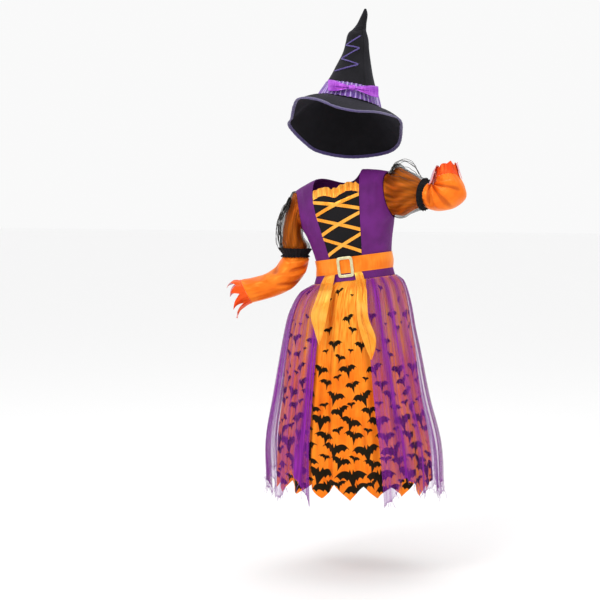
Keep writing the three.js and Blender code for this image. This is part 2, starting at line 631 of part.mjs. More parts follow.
function buildUnderskirt() {
  const seam = SEAM_GAP / 2 / 110;
  for (const [name, from] of [['front', -PI / 2], ['back', PI / 2]]) {
    const angles = range(36, from + seam, from + PI - seam);
    const geometry = cloth(underskirt, skirtCore, SATIN, angles, SKIRT_SHARES);
    add(`underskirt_${name}`, geometry, COLOURS.orange, 0.5);
  }
}

// The net's place: it lies near the underskirt by its opening, and stands off elsewhere.
function net(angle, share) {
  const fromFront = Math.abs(Math.atan2(Math.sin(angle - SKIRT_TURN), Math.cos(angle - SKIRT_TURN)));
  const beyond = Math.max(0, fromFront - NET_OPENING.waist);
  const stands = mix(NET_CLOSE.share, 1, smooth(beyond / NET_CLOSE.within));
  const corner = NET_OPENING.corner * Math.exp(-beyond * 9);
  const ragged = NET_HEM.point * zigzag(angle + 0.1, NET_HEM.points);
  const long = NET_HEM.long * Math.sin(3.5 * angle + 0.9) * Math.sin(8 * angle);
  const down = mix(WAISTBAND_DOWN, NET_HEM.down + ragged + long + corner, share);
  const wave = mix(folds(angle, UNDER_FOLDS, down), folds(angle, NET_FOLDS, down), (stands - 0.2) / 0.8);
  const [near, far] = [read(UNDERSKIRT, 'down', down), read(NET, 'down', down)];
  const outside = hanging(NET, angle, down, far.fold * wave);
  const gap = NET_CLOSE.distance * smooth((down - WAISTBAND_DOWN) / 20) + 3;
  const inside = hanging(UNDERSKIRT, angle, down, near.fold * wave + gap);
  return inside.lerp(outside, stands);
}

function netEdge(share) {
  return mix(NET_OPENING.waist, NET_OPENING.hem, share);
}

function buildNet() {
  for (const [name, side] of [['right', -1], ['left', 1]]) {
    const surface = (turn, share) => {
      const from = side * netEdge(share) + SKIRT_TURN;
      return net(mix(from, SKIRT_TURN + side * (PI - SEAM_GAP / 220), turn), share);
    };
    const geometry = cloth(surface, skirtCore, NET_CLOTH, range(30, 0, 1), SKIRT_SHARES);
    add(`net_${name}`, geometry, COLOURS.net, 0.9);
  }
}

// The outermost place that the skirt's layers reach at an angle and a distance down.
function overSkirt(angle, down, lift) {
  const row = read(UNDERSKIRT, 'down', Math.max(down, WAISTBAND_DOWN));
  const free = smooth((down - 30) / 30);
  const layers = free * (row.fold + NET_CLOSE.distance + 3 + 6 * smooth(down / 120) + NET_CLOTH);
  const belt = (1 - smooth((down - 24) / 30)) * 3.6;
  const out = layers + belt + lift + TAIL_CLEARANCE;
  const point = hanging(UNDERSKIRT, angle, Math.max(down, WAISTBAND_DOWN), out);
  const { halfWidth } = read(UNDERSKIRT, 'down', down);
  return point.setZ(onBody(halfWidth * Math.sin(angle), 0, -down).z);
}

// The point of a curve round the front that is seen at a place to the right.
function seenAt(right, curveAt) {
  const sideways = turned(1, 0, 0);
  let [low, high] = [-80 * degrees, 80 * degrees];
  for (let i = 0; i < 26; i += 1) {
    const angle = (low + high) / 2;
    if (curveAt(angle).dot(sideways) < right) low = angle;
    else high = angle;
  }
  return curveAt(low);
}

// A tail starts under the belt's lower edge and falls over the skirts.
function tailSurface(rows) {
  const drops = rows.map((row) => ({ ...row, drop: -row.up }));
  const underBelt = beltAt(BELT.offset + BELT.thick);
  return (share, drop) => {
    const row = read(drops, 'drop', drop);
    const right = mix(row.from, row.to, share);
    const top = seenAt(right, (angle) => underBelt(angle, -BELT.halfHeight - SEAM_GAP));
    const curl = 2 * Math.sin(share * PI * 2);
    const below = seenAt(right, (angle) => {
      const across = Math.sin(angle) * 150;
      const leaning = 1 - smooth((WAIST.z + drop) / 160);
      const down = WAIST.z + drop + across * Math.sin(LEAN_AT_WAIST) * leaning;
      return overSkirt(angle, down, row.lift + curl);
    });
    return top.lerp(below, smooth((drop - drops[0].drop) / (drops[1].drop - drops[0].drop)));
  };
}

function buildTails() {
  for (const [name, rows] of [['right', RIGHT_TAIL], ['left', LEFT_TAIL]]) {
    const halfway = (i) => -(rows[i - 1].up + rows[i].up) / 2;
    const drops = rows.flatMap(({ up }, i) => (i ? [halfway(i), -up] : [-up]));
    const geometry = cloth(tailSurface(rows), skirtCore, SATIN, range(4, 0, 1), drops);
    add(`tail_${name}`, geometry, COLOURS.gold, 0.4);
  }
}

// A sleeve that starts inside its armhole's edge, leaves it sideways and then follows its rings.
function fromArmhole(side, inset, rows) {
  const edge = (turn) => {
    const { angle, level } = armhole(side, turn);
    return torso(angle, level);
  };
  const leaving = (turn) => edge(turn).add(new THREE.Vector3(side * LEAVES_ARMHOLE, 0, 0));
  const loops = [drawnIn(leaving, inset - PUFF_AT_ARMHOLE), ...rows.map((row) => ring(row))];
  const surface = loft(loops);
  const first = drawnIn(edge, inset);
  return (turn, along) => {
    if (along >= 0) return surface(turn, along);
    return first(turn).lerp(loops[0](turn), along + 1);
  };
}

// Middles of the rings of a loft, for telling its outside from its inside.
function middles(surface) {
  return (turn, along) => {
    const middle = new THREE.Vector3();
    for (const other of turnsOf(8)) middle.addScaledVector(surface(other, along), 1 / 8);
    return middle;
  };
}

function tube(surface, thick, around, along) {
  return cloth(surface, middles(surface), thick, turnsOf(around), along, true);
}

// Where the sleeves are sampled from the armhole to the elbow, and how far apart the layers stand.
const UPPER_STATIONS = [-1, 0, 0.5, 1.2, 2.2, 3.2, 4.1, 5];
const SATIN_STANDS_IN = 4;
const LEAVES_ARMHOLE = 4;
const PUFF_AT_ARMHOLE = 1.5;
const SLEEVE_SIDES = 14;
const SLEEVES = {
  right: { side: -1, sheer: RIGHT_SHEER, satin: RIGHT_SATIN, cuff: RIGHT_CUFF },
  left: { side: 1, sheer: LEFT_SHEER, satin: LEFT_SATIN, cuff: LEFT_CUFF },
};

function sheerSurface({ side, sheer }) {
  return fromArmhole(side, 1, sheer);
}

function buildSleeve(name) {
  const sleeve = SLEEVES[name];
  const sheer = sheerSurface(sleeve);
  add(`sheer_sleeve_${name}`, tube(sheer, SHEER, SLEEVE_SIDES, UPPER_STATIONS), COLOURS.sheer);

  const under = UPPER_STATIONS.slice(0, -1).map((along) => {
    const depth = SHEER + 1.8 + SATIN_STANDS_IN * smooth((along + 1) / 2);
    return drawnIn((turn) => sheer(turn, along), depth);
  });
  const gathered = drawnIn(ring(sleeve.sheer[sleeve.sheer.length - 1]), 2.6);
  const loops = [...under, gathered, ...sleeve.satin.map((row) => ring(row))];
  const satin = loft(loops);
  add(`satin_sleeve_${name}`, tube(satin, SATIN, SLEEVE_SIDES, loops.map((_, i) => i)), COLOURS.orange, 0.5);

  buildElbowBand(name, sleeve);
  buildCuff(name, sleeve);
}

// The gathered elastic band over the end of the sheer sleeve, with a frill at each edge.
function buildElbowBand(name, sleeve) {
  const rows = sleeve.sheer.slice(-2).concat(sleeve.satin.slice(0, 2));
  const surface = loft(rows.map((row) => drawnIn(ring(row), -ELBOW_BAND.lift)));
  const gather = (turn, along) => {
    const frill = Math.abs(along - 1.2) / 1.15;
    const wave = ELBOW_BAND.depth * (0.4 + frill) * Math.cos(turn * ELBOW_BAND.waves);
    return ELBOW_BAND.flare * frill + wave + ELBOW_BAND.depth * 1.6;
  };
  const inside = middles(surface);
  const outer = lifted(surface, inside, gather);
  const inner = lifted(surface, inside, (u, v) => gather(u, v) - SHEER);
  const geometry = wall(outer, inner, turnsOf(ELBOW_BAND.waves * 2), [0.05, 1.2, 2.35], true);
  add(`elbow_band_${name}`, geometry, COLOURS.black);
}

// The pointed cuff: each point reaches the last ring, and the cloth between is cut back.
function buildCuff(name, { cuff }) {
  const rings = loft(cuff.map((row) => ring(row)));
  const reach = (turn) => 2.1 + 0.9 * zigzag(turn, CUFF_POINTS[name]);
  const surface = (turn, share) => rings(turn, share * reach(turn));
  const inside = (turn, share) => middles(rings)(turn, share * 2);
  const geometry = cloth(surface, inside, SATIN, turnsOf(CUFF_POINTS[name] * 2), range(3, 0, 1), true);
  add(`cuff_${name}`, geometry, COLOURS.cuff, 0.5);
}

// Torn gauze: a strip over the shoulder seam with strands that fall or arch from it.
function buildGauze(name, strays) {
  const surface = sheerSurface(SLEEVES[name]);
  const inside = middles(surface);
  const { strands, width, thick, spread } = GAUZE;
  const turns = range(strands - 1, -spread, spread);
  const columns = turns.flatMap((turn) => [turn - width / 2, turn + width / 2]);
  const strayOf = (turn) => {
    const i = clamp(Math.round(((turn + spread) / (2 * spread)) * (strands - 1)), 0, strands - 1);
    return { ...strays(i / (strands - 1), i), i };
  };
  const [lower, upper] = UPPER_STATIONS.slice(2, 4);
  const skin = (rise) => (turn, v) => {
    if (v <= 1) return lifted(surface, inside, GAUZE_RISE + rise)(turn, mix(lower, upper, v));
    const { reach, lift, sway, i } = strayOf(turn);
    const t = (v - 1) / (GAUZE_ROWS - 1);
    const height = GAUZE_RISE + rise + 2.2 * smooth(t * 4) + lift * Math.sin(PI * t ** 0.8);
    const sideways = turn + sway * t * Math.sin(4 * t + i);
    return lifted(surface, inside, height)(sideways, Math.min(upper + t * reach, 3.15));
  };
  const kept = (i, j) => j === 0 || i % 2 === 0;
  const geometry = wall(skin(thick), skin(0), columns, range(GAUZE_ROWS, 0, GAUZE_ROWS), false, kept);
  add(`gauze_${name}`, geometry, COLOURS.black, 0.95);
}

function crownSurface(rows) {
  return loft(rows.map((row) => ring(row)));
}

function buildCrown() {
  const surface = crownSurface(CROWN);
  const inside = middles(surface);
  const last = CROWN.length - 1;
  const top = [0, 0.5, ...range(last - 1, 1, last)];
  const around = turnsOf(18);
  const outer = top.map((v) => around.map((u) => surface(u, v)));
  const innerTop = top.filter((v) => v <= last - 2);
  const inner = innerTop.map((v) => around.map((u) => lifted(surface, inside, -FELT)(u, v)));
  const middleOf = (loop) =>
    loop.reduce((sum, p) => sum.addScaledVector(p, 1 / loop.length), new THREE.Vector3());
  const tip = middleOf(outer[outer.length - 1]).add(new THREE.Vector3(0, 0, 2));
  const innerTip = middleOf(inner[inner.length - 1]).add(new THREE.Vector3(0, 0, LINING_PEAK));
  const points = [...outer.flat(), tip, ...inner.flat(), innerTip];
  const count = around.length;
  const faces = [];
  const start = outer.length * count + 1;
  const strip = (base, rows, flip) => {
    for (let j = 0; j < rows - 1; j += 1) {
      for (let i = 0; i < count; i += 1) {
        const [a, b] = [base + j * count + i, base + j * count + ((i + 1) % count)];
        const [c, d] = [b + count, a + count];
        faces.push(flip ? [a, c, b] : [a, b, c], flip ? [a, d, c] : [a, c, d]);
      }
    }
    const end = base + (rows - 1) * count;
    for (let i = 0; i < count; i += 1) {
      const [a, b, peak] = [end + i, end + ((i + 1) % count), base + rows * count];
      faces.push(flip ? [a, peak, b] : [a, b, peak]);
    }
  };
  strip(0, outer.length, false);
  strip(start, inner.length, true);
  for (let i = 0; i < count; i += 1) {
    const [a, b] = [i, (i + 1) % count];
    faces.push([a, start + b, b], [a, start + a, start + b]);
  }
  add('hat_crown', geometryOf(points, faces), COLOURS.black);
}

const brimEdge = (() => {
  const laps = [-360, 0, 360].flatMap((lap) => BRIM_EDGE.map((row) => ({ ...row, angle: row.angle + lap })));
  return (turn) => read(laps, 'angle', (((turn / degrees) % 360) + 360) % 360);
})();

function brim(turn, share) {
  const base = drawnIn(ring(CROWN[0]), -SEAM_GAP)(turn);
  const { right, up, forward, rise } = brimEdge(turn);
  const point = base.lerp(turned(right, up, forward), share);
  return point.add(new THREE.Vector3(0, 0, rise * Math.sin(PI * Math.max(share, 0) ** 0.8)));
}

function buildBrim() {
  const below = ring(CROWN[0])(0).setZ(-4000);
  const around = turnsOf(32);
  add('hat_brim', cloth(brim, below, FELT, around, range(3, 0, 1), true), COLOURS.black);
  const under = new THREE.Vector3(0, 0, -FELT / 2);
  const piping = around.map((turn) => {
    const out = brim(turn, 1).sub(brim(turn, 0.96)).normalize();
    return brim(turn, 1).add(under).addScaledVector(out, PIPING_RADIUS + SEAM_GAP);
  });
  add('hat_piping', rod(piping, PIPING_RADIUS, PIPING_RADIUS, 4, true), COLOURS.band);
}

function buildHatBand() {
  const surface = crownSurface(CROWN);
  const inside = middles(surface);
  const gather = (u) => HAT_BAND.depth * (1 + Math.cos(u * HAT_BAND.waves)) + SEAM_GAP;
  const outer = lifted(surface, inside, (u) => gather(u) + HAT_BAND.thick);
  const inner = lifted(surface, inside, (u) => gather(u));
  const geometry = wall(outer, inner, turnsOf(HAT_BAND.waves * 2), [0.13, HAT_BAND.top], true);
  add('hat_band', geometry, COLOURS.band);
}

function buildBow() {
  const { up, right, pinch, drop, thick } = BOW;
  for (const [name, side] of [['right', -1], ['left', 1]]) {
    const { length, halfWidth } = BOW_LOOPS[name];
    const surface = (along, across) => {
      const spread = mix(pinch, halfWidth, smooth(along * 1.2)) * across;
      const aside = 8 + along * length;
      const atUp = up + spread - side * aside * drop;
      const puff = 5 * Math.sin(PI * along) * (1 - across * across) + 2 * Math.sin(across * 4.5);
      const forward = BOW.forward - 30 * (aside / 66) ** 2 + puff - 0.55 * (atUp - up);
      return turned(right + side * aside, atUp, forward);
    };
    const back = turned(right, up, -1000);
    const geometry = cloth(surface, back, thick, range(4, 0.02, 1), range(4, -1, 1));
    add(`bow_${name}`, geometry, COLOURS.bow, 0.35);
  }
  const knot = add('bow_knot', new THREE.SphereGeometry(1, 10, 6), COLOURS.bow, 0.35);
  knot.scale.set(8.95, 5.5, 7.5);
  knot.rotation.z = SLEEVES_TURN;
  knot.position.copy(turned(right, up, BOW.forward));
}

// How far forward the crown's front is at a place right and up, found by stepping towards it.
function crownFront(right, up, spare) {
  const surface = crownSurface(CROWN);
  const skin = lifted(surface, middles(surface), spare);
  const [sideways, forwards] = [turned(1, 0, 0), turned(0, 0, 1)];
  const miss = (u, v) => {
    const point = skin(u, v);
    return [point.dot(sideways) - right, point.z - up];
  };
  let [u, v] = [PI / 2, 2.5];
  for (let i = 0; i < 14; i += 1) {
    const [a, b] = miss(u, v);
    const [du, dv] = [miss(u + 1e-3, v), miss(u, v + 1e-3)];
    const [ua, ub, va, vb] = [du[0] - a, du[1] - b, dv[0] - a, dv[1] - b].map((d) => d * 1e3);
    const size = ua * vb - ub * va;
    u = clamp(u - clamp((a * vb - b * va) / size, -0.3, 0.3), 0.05, PI - 0.05);
    v = clamp(v - clamp((b * ua - a * ub) / size, -0.5, 0.5), 0.05, CROWN.length - 1.1);
  }
  return skin(u, v).dot(forwards);
}

function buildHatCord() {
  const points = HAT_CORD.flatMap((place, i) => {
    const next = HAT_CORD[i + 1];
    if (!next) return [place];
    return range(5, 0, 1)
      .slice(0, 5)
      .map((t) => ({ right: mix(place.right, next.right, t), up: mix(place.up, next.up, t) }));
  });
  const path = points.map(({ right, up }) => {
    const spare = HAT_CORD_RADIUS + SEAM_GAP + 0.6;
    return turned(right, up, crownFront(right, up, spare));
  });
  add('hat_cord', rod(path, HAT_CORD_RADIUS, HAT_CORD_RADIUS, 5), COLOURS.band);
}

buildFrontPanel();
buildNeckRuffle();
buildBodice();
buildLacing();
buildWaist();
buildBuckle();
buildUnderskirt();
buildNet();
buildTails();
for (const name of ['right', 'left']) buildSleeve(name);
buildGauze('right', (share, i) => ({
  reach: 2.2 + 1.6 * Math.abs(Math.sin(i * 2.3)),
  lift: 3 + 9 * Math.abs(Math.sin(i * 1.7)),
  sway: 0.16 * Math.sin(i * 4.1),
}));
buildGauze('left', (share, i) => ({
  reach: 1.6 + 1.5 * Math.abs(Math.sin(i * 2.9)),
  lift: 6 + 28 * Math.exp(-(((share - 0.45) * 4) ** 2)),
  sway: 0.2 * Math.sin(i * 3.3),
}));
buildCrown();
buildBrim();
buildHatBand();
buildBow();
buildHatCord();

export default costume;
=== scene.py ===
"""A child's witch costume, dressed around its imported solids: a laced dress under open net, and its hat.

Each form is worked out in millimetres, in the frame of the solids, and becomes a mesh in metres. The dress
faces -Y, and left and right are its own, so that +X is its left.
"""

import logging
import math
from collections.abc import Callable, Iterable, Sequence
from dataclasses import dataclass
from enum import Enum

import bpy
import numpy as np
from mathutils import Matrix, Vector


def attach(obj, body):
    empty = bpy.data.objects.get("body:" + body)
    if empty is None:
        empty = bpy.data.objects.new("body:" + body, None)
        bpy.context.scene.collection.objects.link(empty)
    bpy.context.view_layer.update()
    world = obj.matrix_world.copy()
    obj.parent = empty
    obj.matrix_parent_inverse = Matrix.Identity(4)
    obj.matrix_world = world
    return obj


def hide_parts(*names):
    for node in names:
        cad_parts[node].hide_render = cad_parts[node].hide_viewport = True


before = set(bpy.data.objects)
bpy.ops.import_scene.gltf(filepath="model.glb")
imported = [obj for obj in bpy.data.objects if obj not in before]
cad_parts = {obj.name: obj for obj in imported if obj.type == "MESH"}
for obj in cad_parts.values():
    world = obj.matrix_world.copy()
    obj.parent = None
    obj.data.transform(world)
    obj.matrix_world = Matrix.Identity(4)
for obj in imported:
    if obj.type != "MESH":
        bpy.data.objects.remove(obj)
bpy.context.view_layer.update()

LOG = logging.getLogger("witch_costume")
MM = 0.001
ROOT = "root"
SEAM_GAP = 0.35
CUFF_CUT_ROW = 8

Array = np.ndarray
Loop = Callable[[Array], Array]
Surface = Callable[[Array, Array], Array]
Relief = Callable[[Array, Array], Array]


def smooth(share: Array | float) -> Array | float:
    """Eases a share from 0 to 1, and holds it outside them."""
    t = np.clip(share, 0.0, 1.0)
    return t * t * (3 - 2 * t)


def mix(a: Array | float, b: Array | float, share: Array | float) -> Array | float:
    """Goes straight from a to b."""
    return a + (b - a) * share


def bump(value: Array | float, middle: float, width: float) -> Array | float:
    """A soft hill of height 1 about a middle, which fades out over its width."""
    return np.exp(-(((value - middle) / width) ** 2))


def vectors(x: Array | float, y: Array | float, z: Array | float) -> Array:
    """Points from their three coordinates."""
    return np.stack(np.broadcast_arrays(x, y, z), axis=-1).astype(float)


def unit(directions: Array) -> Array:
    """Directions of length 1."""
    return directions / np.maximum(np.linalg.norm(directions, axis=-1, keepdims=True), 1e-12)


def curve(before: Array, a: Array, b: Array, after: Array, t: Array) -> Array:
    """A smooth curve through four values, between a and b."""
    slope_a, slope_b = (b - before) / 2, (after - a) / 2
    t2, t3 = t * t, t * t * t
    return (
        a * (2 * t3 - 3 * t2 + 1) + slope_a * (t3 - 2 * t2 + t)
        + b * (3 * t2 - 2 * t3) + slope_b * (t3 - t2)
    )


@dataclass(frozen=True)
class Table:
    """A short table with named columns, the first of which says where each row is.

    Args:
        columns: The names of the columns, apart from the key's.
        rows: The key and the values of each row, by rising key.
    """

    columns: str
    rows: tuple[tuple[float, ...], ...]

    def read(self, key: Array | float) -> dict[str, Array]:
        """Reads every column smoothly between the rows.

        Args:
            key: Where to read.

        Returns:
            The columns' values by name.
        """
        rows = np.array(self.rows, float)
        keys, last = rows[:, 0], len(rows) - 1
        key = np.asarray(key, float)
        i = np.clip(np.searchsorted(keys, key, side="left") - 1, 0, last - 1)
        near = [np.clip(i + k, 0, last) for k in (-1, 0, 1, 2)]
        span = keys[near[2]] - keys[near[1]]
        t = np.clip((key - keys[near[1]]) / span, 0, 1)
        found = {}
        for column, name in enumerate(self.columns.split(), start=1):
            values = rows[:, column]
            a, b = values[near[1]], values[near[2]]
            slopes = [
                (values[near[k + 2]] - values[near[k]]) / np.maximum(keys[near[k + 2]] - keys[near[k]], 1e-6)
                for k in (0, 1)
            ]
            found[name] = curve(b - 2 * slopes[0] * span, a, b, a + 2 * slopes[1] * span, t)
        return found


def loft(loops: Sequence[Loop]) -> Surface:
    """A surface through loops, smooth along it. Its second value counts the loops."""

    def surface(turn: Array, along: Array) -> Array:
        """The loft's place at a turn, and so many loops along."""
        turn, along = np.broadcast_arrays(turn, along)
        last = len(loops) - 1
        i = np.clip(np.floor(along).astype(int), 0, last - 1)
        found = np.zeros(turn.shape + (3,))
        for step in np.unique(i):
            here = i == step
            near = [loops[int(np.clip(step + k, 0, last))](turn[here]) for k in (-1, 0, 1, 2)]
            found[here] = curve(*near, (along[here] - step)[..., None])
        return found

    return surface


def drawn_in(loop: Loop, distance: Array | float) -> Loop:
    """A loop drawn in towards its middle, or out of it by a negative distance."""
    middle = loop(np.linspace(0, 2 * math.pi, 16, endpoint=False)).mean(axis=0)

    def moved(turn: Array) -> Array:
        """The loop's place, moved towards the middle."""
        point = loop(turn)
        return point + unit(middle - point) * distance

    return moved


def middles(surface: Surface) -> Surface:
    """The middles of a tube's rings, which tell its outside from its inside."""

    def middle(turn: Array, along: Array) -> Array:
        """The middle of the ring at each place along."""
        turn, along = np.broadcast_arrays(turn, along)
        places, back = np.unique(along, return_inverse=True)
        around = np.linspace(0, 2 * math.pi, 8, endpoint=False)
        rings = surface(around[None, :], places[:, None]).mean(axis=1)
        return rings[back.reshape(along.shape)]

    return middle


def normals(surface: Surface, inside: Surface | Array, u: Array, v: Array) -> Array:
    """A surface's normals at places on it, which point away from its inside."""
    step = 1e-3
    across = surface(u + step, v) - surface(u - step, v)
    along = surface(u, v + step) - surface(u, v - step)
    normal = unit(np.cross(across, along))
    middle = inside(u, v) if callable(inside) else inside
    facing = np.sum(normal * (surface(u, v) - middle), axis=-1, keepdims=True)
    return np.where(facing < 0, -normal, normal)


def lifted(surface: Surface, inside: Surface | Array, distance: Relief | float) -> Surface:
    """A surface moved along its own normal, away from its inside."""

    def moved(u: Array, v: Array) -> Array:
        """The surface's place, moved out along its normal."""
        u, v = np.broadcast_arrays(np.asarray(u, float), np.asarray(v, float))
        out = distance(u, v) if callable(distance) else distance
        return surface(u, v) + normals(surface, inside, u, v) * np.asarray(out)[..., None]

    return moved


class Value:
    """A number at each place of a surface, in a shader, which Python's own operators work on."""

    def __init__(self, shader: "Shader", socket: bpy.types.NodeSocket) -> None:
        """Wraps an output socket of a shader's node."""
        self.shader = shader
        self.socket = socket

    def maths(self, operation: str, *others: "Value | float") -> "Value":
        """This value and others, put through a Math node."""
        inputs = dict(enumerate((self, *others)))
        return self.shader.node("ShaderNodeMath", {"operation": operation}, inputs)

    def __add__(self, other: "Value | float") -> "Value":
        """The sum."""
        return self.maths("ADD", other)

    def __mul__(self, other: "Value | float") -> "Value":
        """The product."""
        return self.maths("MULTIPLY", other)

    def __sub__(self, other: "Value | float") -> "Value":
        """The difference."""
        return self.maths("SUBTRACT", other)

    def __rsub__(self, other: float) -> "Value":
        """A number less this value."""
        return self.shader.node("ShaderNodeMath", {"operation": "SUBTRACT"}, {0: other, 1: self})

    def __truediv__(self, other: "Value | float") -> "Value":
        """The quotient."""
        return self.maths("DIVIDE", other)

    def __pow__(self, other: float) -> "Value":
        """The power."""
        return self.maths("POWER", other)

    def __neg__(self) -> "Value":
        """The value with its sign turned."""
        return self.maths("MULTIPLY", -1.0)

    def __abs__(self) -> "Value":
        """The value without its sign."""
        return self.maths("ABSOLUTE")

    __radd__ = __add__
    __rmul__ = __mul__

    def least(self, other: "Value | float") -> "Value":
        """The lesser of two."""
        return self.maths("MINIMUM", other)

    def most(self, other: "Value | float") -> "Value":
        """The greater of two."""
        return self.maths("MAXIMUM", other)

    def wave(self, length: float) -> "Value":
        """A wave from -1 to 1 that repeats over a length of this value."""
        return (self * (2 * math.pi / length)).maths("SINE")

    def over(self, start: float, end: float) -> "Value":
        """0 at the start and below, 1 at the end and above, or the reverse."""
        settings = {"interpolation_type": "SMOOTHSTEP"}
        return self.shader.node("ShaderNodeMapRange", settings, {0: self, 1: start, 2: end, 3: 0.0, 4: 1.0})


Colour = tuple[float, float, float]


class Shader:
    """The nodes of one finish."""

    def __init__(self, name: str) -> None:
        """Starts a material with a plain shader."""
        self.material = bpy.data.materials.new(name)
        self.material.use_nodes = True
        self.tree = self.material.node_tree
        self.surface = self.tree.nodes["Principled BSDF"]

    def node(
        self,
        kind: str,
        settings: dict[str, object] | None = None,
        inputs: dict[str | int, object] | None = None,
        output: str | int = 0,
    ) -> Value:
        """Makes a node, sets it and links it.

        Args:
            kind: The node's type.
            settings: Its own settings, which are set first, with a ramp's stops as "stops".
            inputs: Its sockets' values or links, by name or number.
            output: The output that is wanted.

        Returns:
            That output as a value.
        """
        made = self.tree.nodes.new(kind)
        for name, setting in (settings or {}).items():
            if name == "stops":
                self.set_stops(made.color_ramp, setting)
            else:
                setattr(made, name, setting)
        for name, value in (inputs or {}).items():
            self.feed(made.inputs[name], value)
        return Value(self, made.outputs[output])

    def set_stops(self, ramp: bpy.types.ColorRamp, stops: Sequence[tuple[float, Colour]]) -> None:
        """Gives a ramp its places and colours."""
        while len(ramp.elements) < len(stops):
            ramp.elements.new(1.0)
        for element, (place, colour) in zip(ramp.elements, stops):
            element.position = place
            element.color = (*colour, 1.0)

    def feed(self, socket: bpy.types.NodeSocket, value: object) -> None:
        """Links a value to a socket, or sets the socket to a number or colour."""
        if isinstance(value, Value):
            self.tree.links.new(value.socket, socket)
        elif socket.type == "RGBA":
            socket.default_value = (*value, 1.0)
        else:
            socket.default_value = value

    def set(self, **sockets: object) -> None:
        """Feeds the plain shader's own sockets, named with underscores for spaces."""
        for name, value in sockets.items():
            self.feed(self.surface.inputs[name.replace("_", " ")], value)

    def flat(self) -> tuple[Value, Value, Value]:
        """The cut cloth's own place: across, down, in metres, and both as one."""
        place = self.node("ShaderNodeUVMap", {"uv_map": "flat"})
        across = self.node("ShaderNodeSeparateXYZ", None, {0: place}, "X")
        down = self.node("ShaderNodeSeparateXYZ", None, {0: place}, "Y")
        return across, down, place

    def share(self, name: str) -> Value:
        """A number that the mesh carries at each of its points."""
        return self.node("ShaderNodeAttribute", {"attribute_name": name}, None, "Fac")

    def noise(
        self, size: float, detail: float = 2.0, place: Value | None = None, seed: float = 0.0
    ) -> Value:
        """Soft noise from about 0.3 to 0.7, with features of a size in metres."""
        settings = {"noise_dimensions": "4D"}
        inputs: dict[str | int, object] = {"Scale": 1 / size, "Detail": detail, "W": seed}
        inputs["Vector"] = place or self.node("ShaderNodeTexCoord", None, None, "Object")
        return self.node("ShaderNodeTexNoise", settings, inputs)

    def stretched(self, place: Value, across: float, down: float) -> Value:
        """A place that is scaled differently across and down."""
        return self.node(
            "ShaderNodeVectorMath", {"operation": "MULTIPLY"}, {0: place, 1: (across, down, 1.0)}
        )

    def blend(self, share: Value | float, a: object, b: object, way: str = "MIX") -> Value:
        """Two colours mixed, by a share."""
        settings = {"data_type": "RGBA", "blend_type": way}
        return self.node("ShaderNodeMix", settings, {0: share, 6: a, 7: b}, 2)

    def relief(self, height: Value, depth: float, strength: float = 1.0) -> Value:
        """The normal of a surface whose height in metres is a value times a depth."""
        return self.node("ShaderNodeBump", None, {"Height": height, "Distance": depth, "Strength": strength})


def linear(code: str) -> Colour:
    """A colour in linear light from its six-digit code."""
    parts = [int(code[i : i + 2], 16) / 255 for i in (0, 2, 4)]
    return tuple(p / 12.92 if p <= 0.04045 else ((p + 0.055) / 1.055) ** 2.4 for p in parts)


@dataclass(frozen=True)
class Finish:
    """A finish: how one kind of cloth or metal looks, and the record's slot that it belongs to.

    Args:
        name: The material's name.
        slot: The record's material slot, which is not used.
        colour: The main colour's code.
        other: The code of the colour that it varies towards.
        roughness: How matte it is.
    """

    name: str
    slot: str
    colour: str
    other: str
    roughness: float = 0.6

    def make(self) -> bpy.types.Material:
        """Makes the material, once for each name."""
        name = self.name + "_finish"
        known = bpy.data.materials.get(name)
        if known:
            return known
        shader = Shader(name)
        self.dress(shader)
        return shader.material

    def dress(self, shader: Shader) -> None:
        """Sets the shader's nodes."""
        raise NotImplementedError


@dataclass(frozen=True)
class Satin(Finish):
    """Smooth woven satin: long floats that shine, over a fine twill of threads.

    Args:
        sheen: The code of the light that it throws back.
        painted_trough_shade: The code of the painted shade in the troughs between folds.
        ink: The code of the print's colour.
        painted_waist_highlight: The code of the painted highlight over the ground near the waist.
        waist_highlight_share: How much of that painted highlight shows, from 0 to 1.
        gloss: The specular level.
        thread: The threads' spacing, in metres.
        shine: How metallic the floats look.
    """

    roughness: float = 0.36
    sheen: str = "FFE0A0"
    painted_trough_shade: str = "C2500F"
    ink: str = "040305"
    painted_waist_highlight: str = "FFC24A"
    waist_highlight_share: float = 0.0
    gloss: float = 0.5
    thread: float = 0.0005
    shine: float = 0.22

    def dress(self, shader: Shader) -> None:
        """Sets threads, soft clouds of colour, painted shade in the troughs, a painted highlight near the
        waist where asked for, and the sheen of the floats.
        """
        across, down, place = shader.flat()
        cloud = shader.noise(0.045, 3).over(0.35, 0.65)
        streak = shader.noise(1.0, 2, shader.stretched(place, 260.0, 26.0)).over(0.3, 0.7)
        ground = shader.blend(cloud * 0.55 + streak * 0.3, linear(self.colour), linear(self.other))
        # Painted shade: the colour darkens in the troughs between folds, by how deep the mesh lies in them.
        ground = shader.blend(shader.share("trough") * 0.85, ground, linear(self.painted_trough_shade))
        weave = across.wave(self.thread) * 0.5 + (down + across * 0.5).wave(self.thread * 1.7) * 0.5
        crumple = shader.noise(0.012, 3)
        height = weave * 0.02 + crumple
        ink = self.printed(shader, across, down)
        # Painted highlight: a paler yellow, in streaks, over the ground towards the waist.
        ground = shader.blend(
            (down.over(0.28, 0.46) * streak * 0.8) * self.waist_highlight_share, ground, linear(self.painted_waist_highlight)
        )
        shader.set(
            Base_Color=shader.blend(ink, ground, linear(self.ink)),
            Roughness=cloud * 0.08 + streak * 0.06 + (self.roughness - 0.06) + ink * 0.4,
            Metallic=(1.0 - ink) * self.shine,
            Specular_IOR_Level=self.gloss,
            Normal=shader.relief(height, 0.0008, 0.6),
            Specular_Tint=linear(self.sheen),
            Sheen_Weight=0.1,
            Sheen_Roughness=0.35,
            Sheen_Tint=linear(self.sheen),
        )

    def printed(self, shader: Shader, across: Value, down: Value) -> Value:
        """Where something is printed on it."""
        return across * 0.0


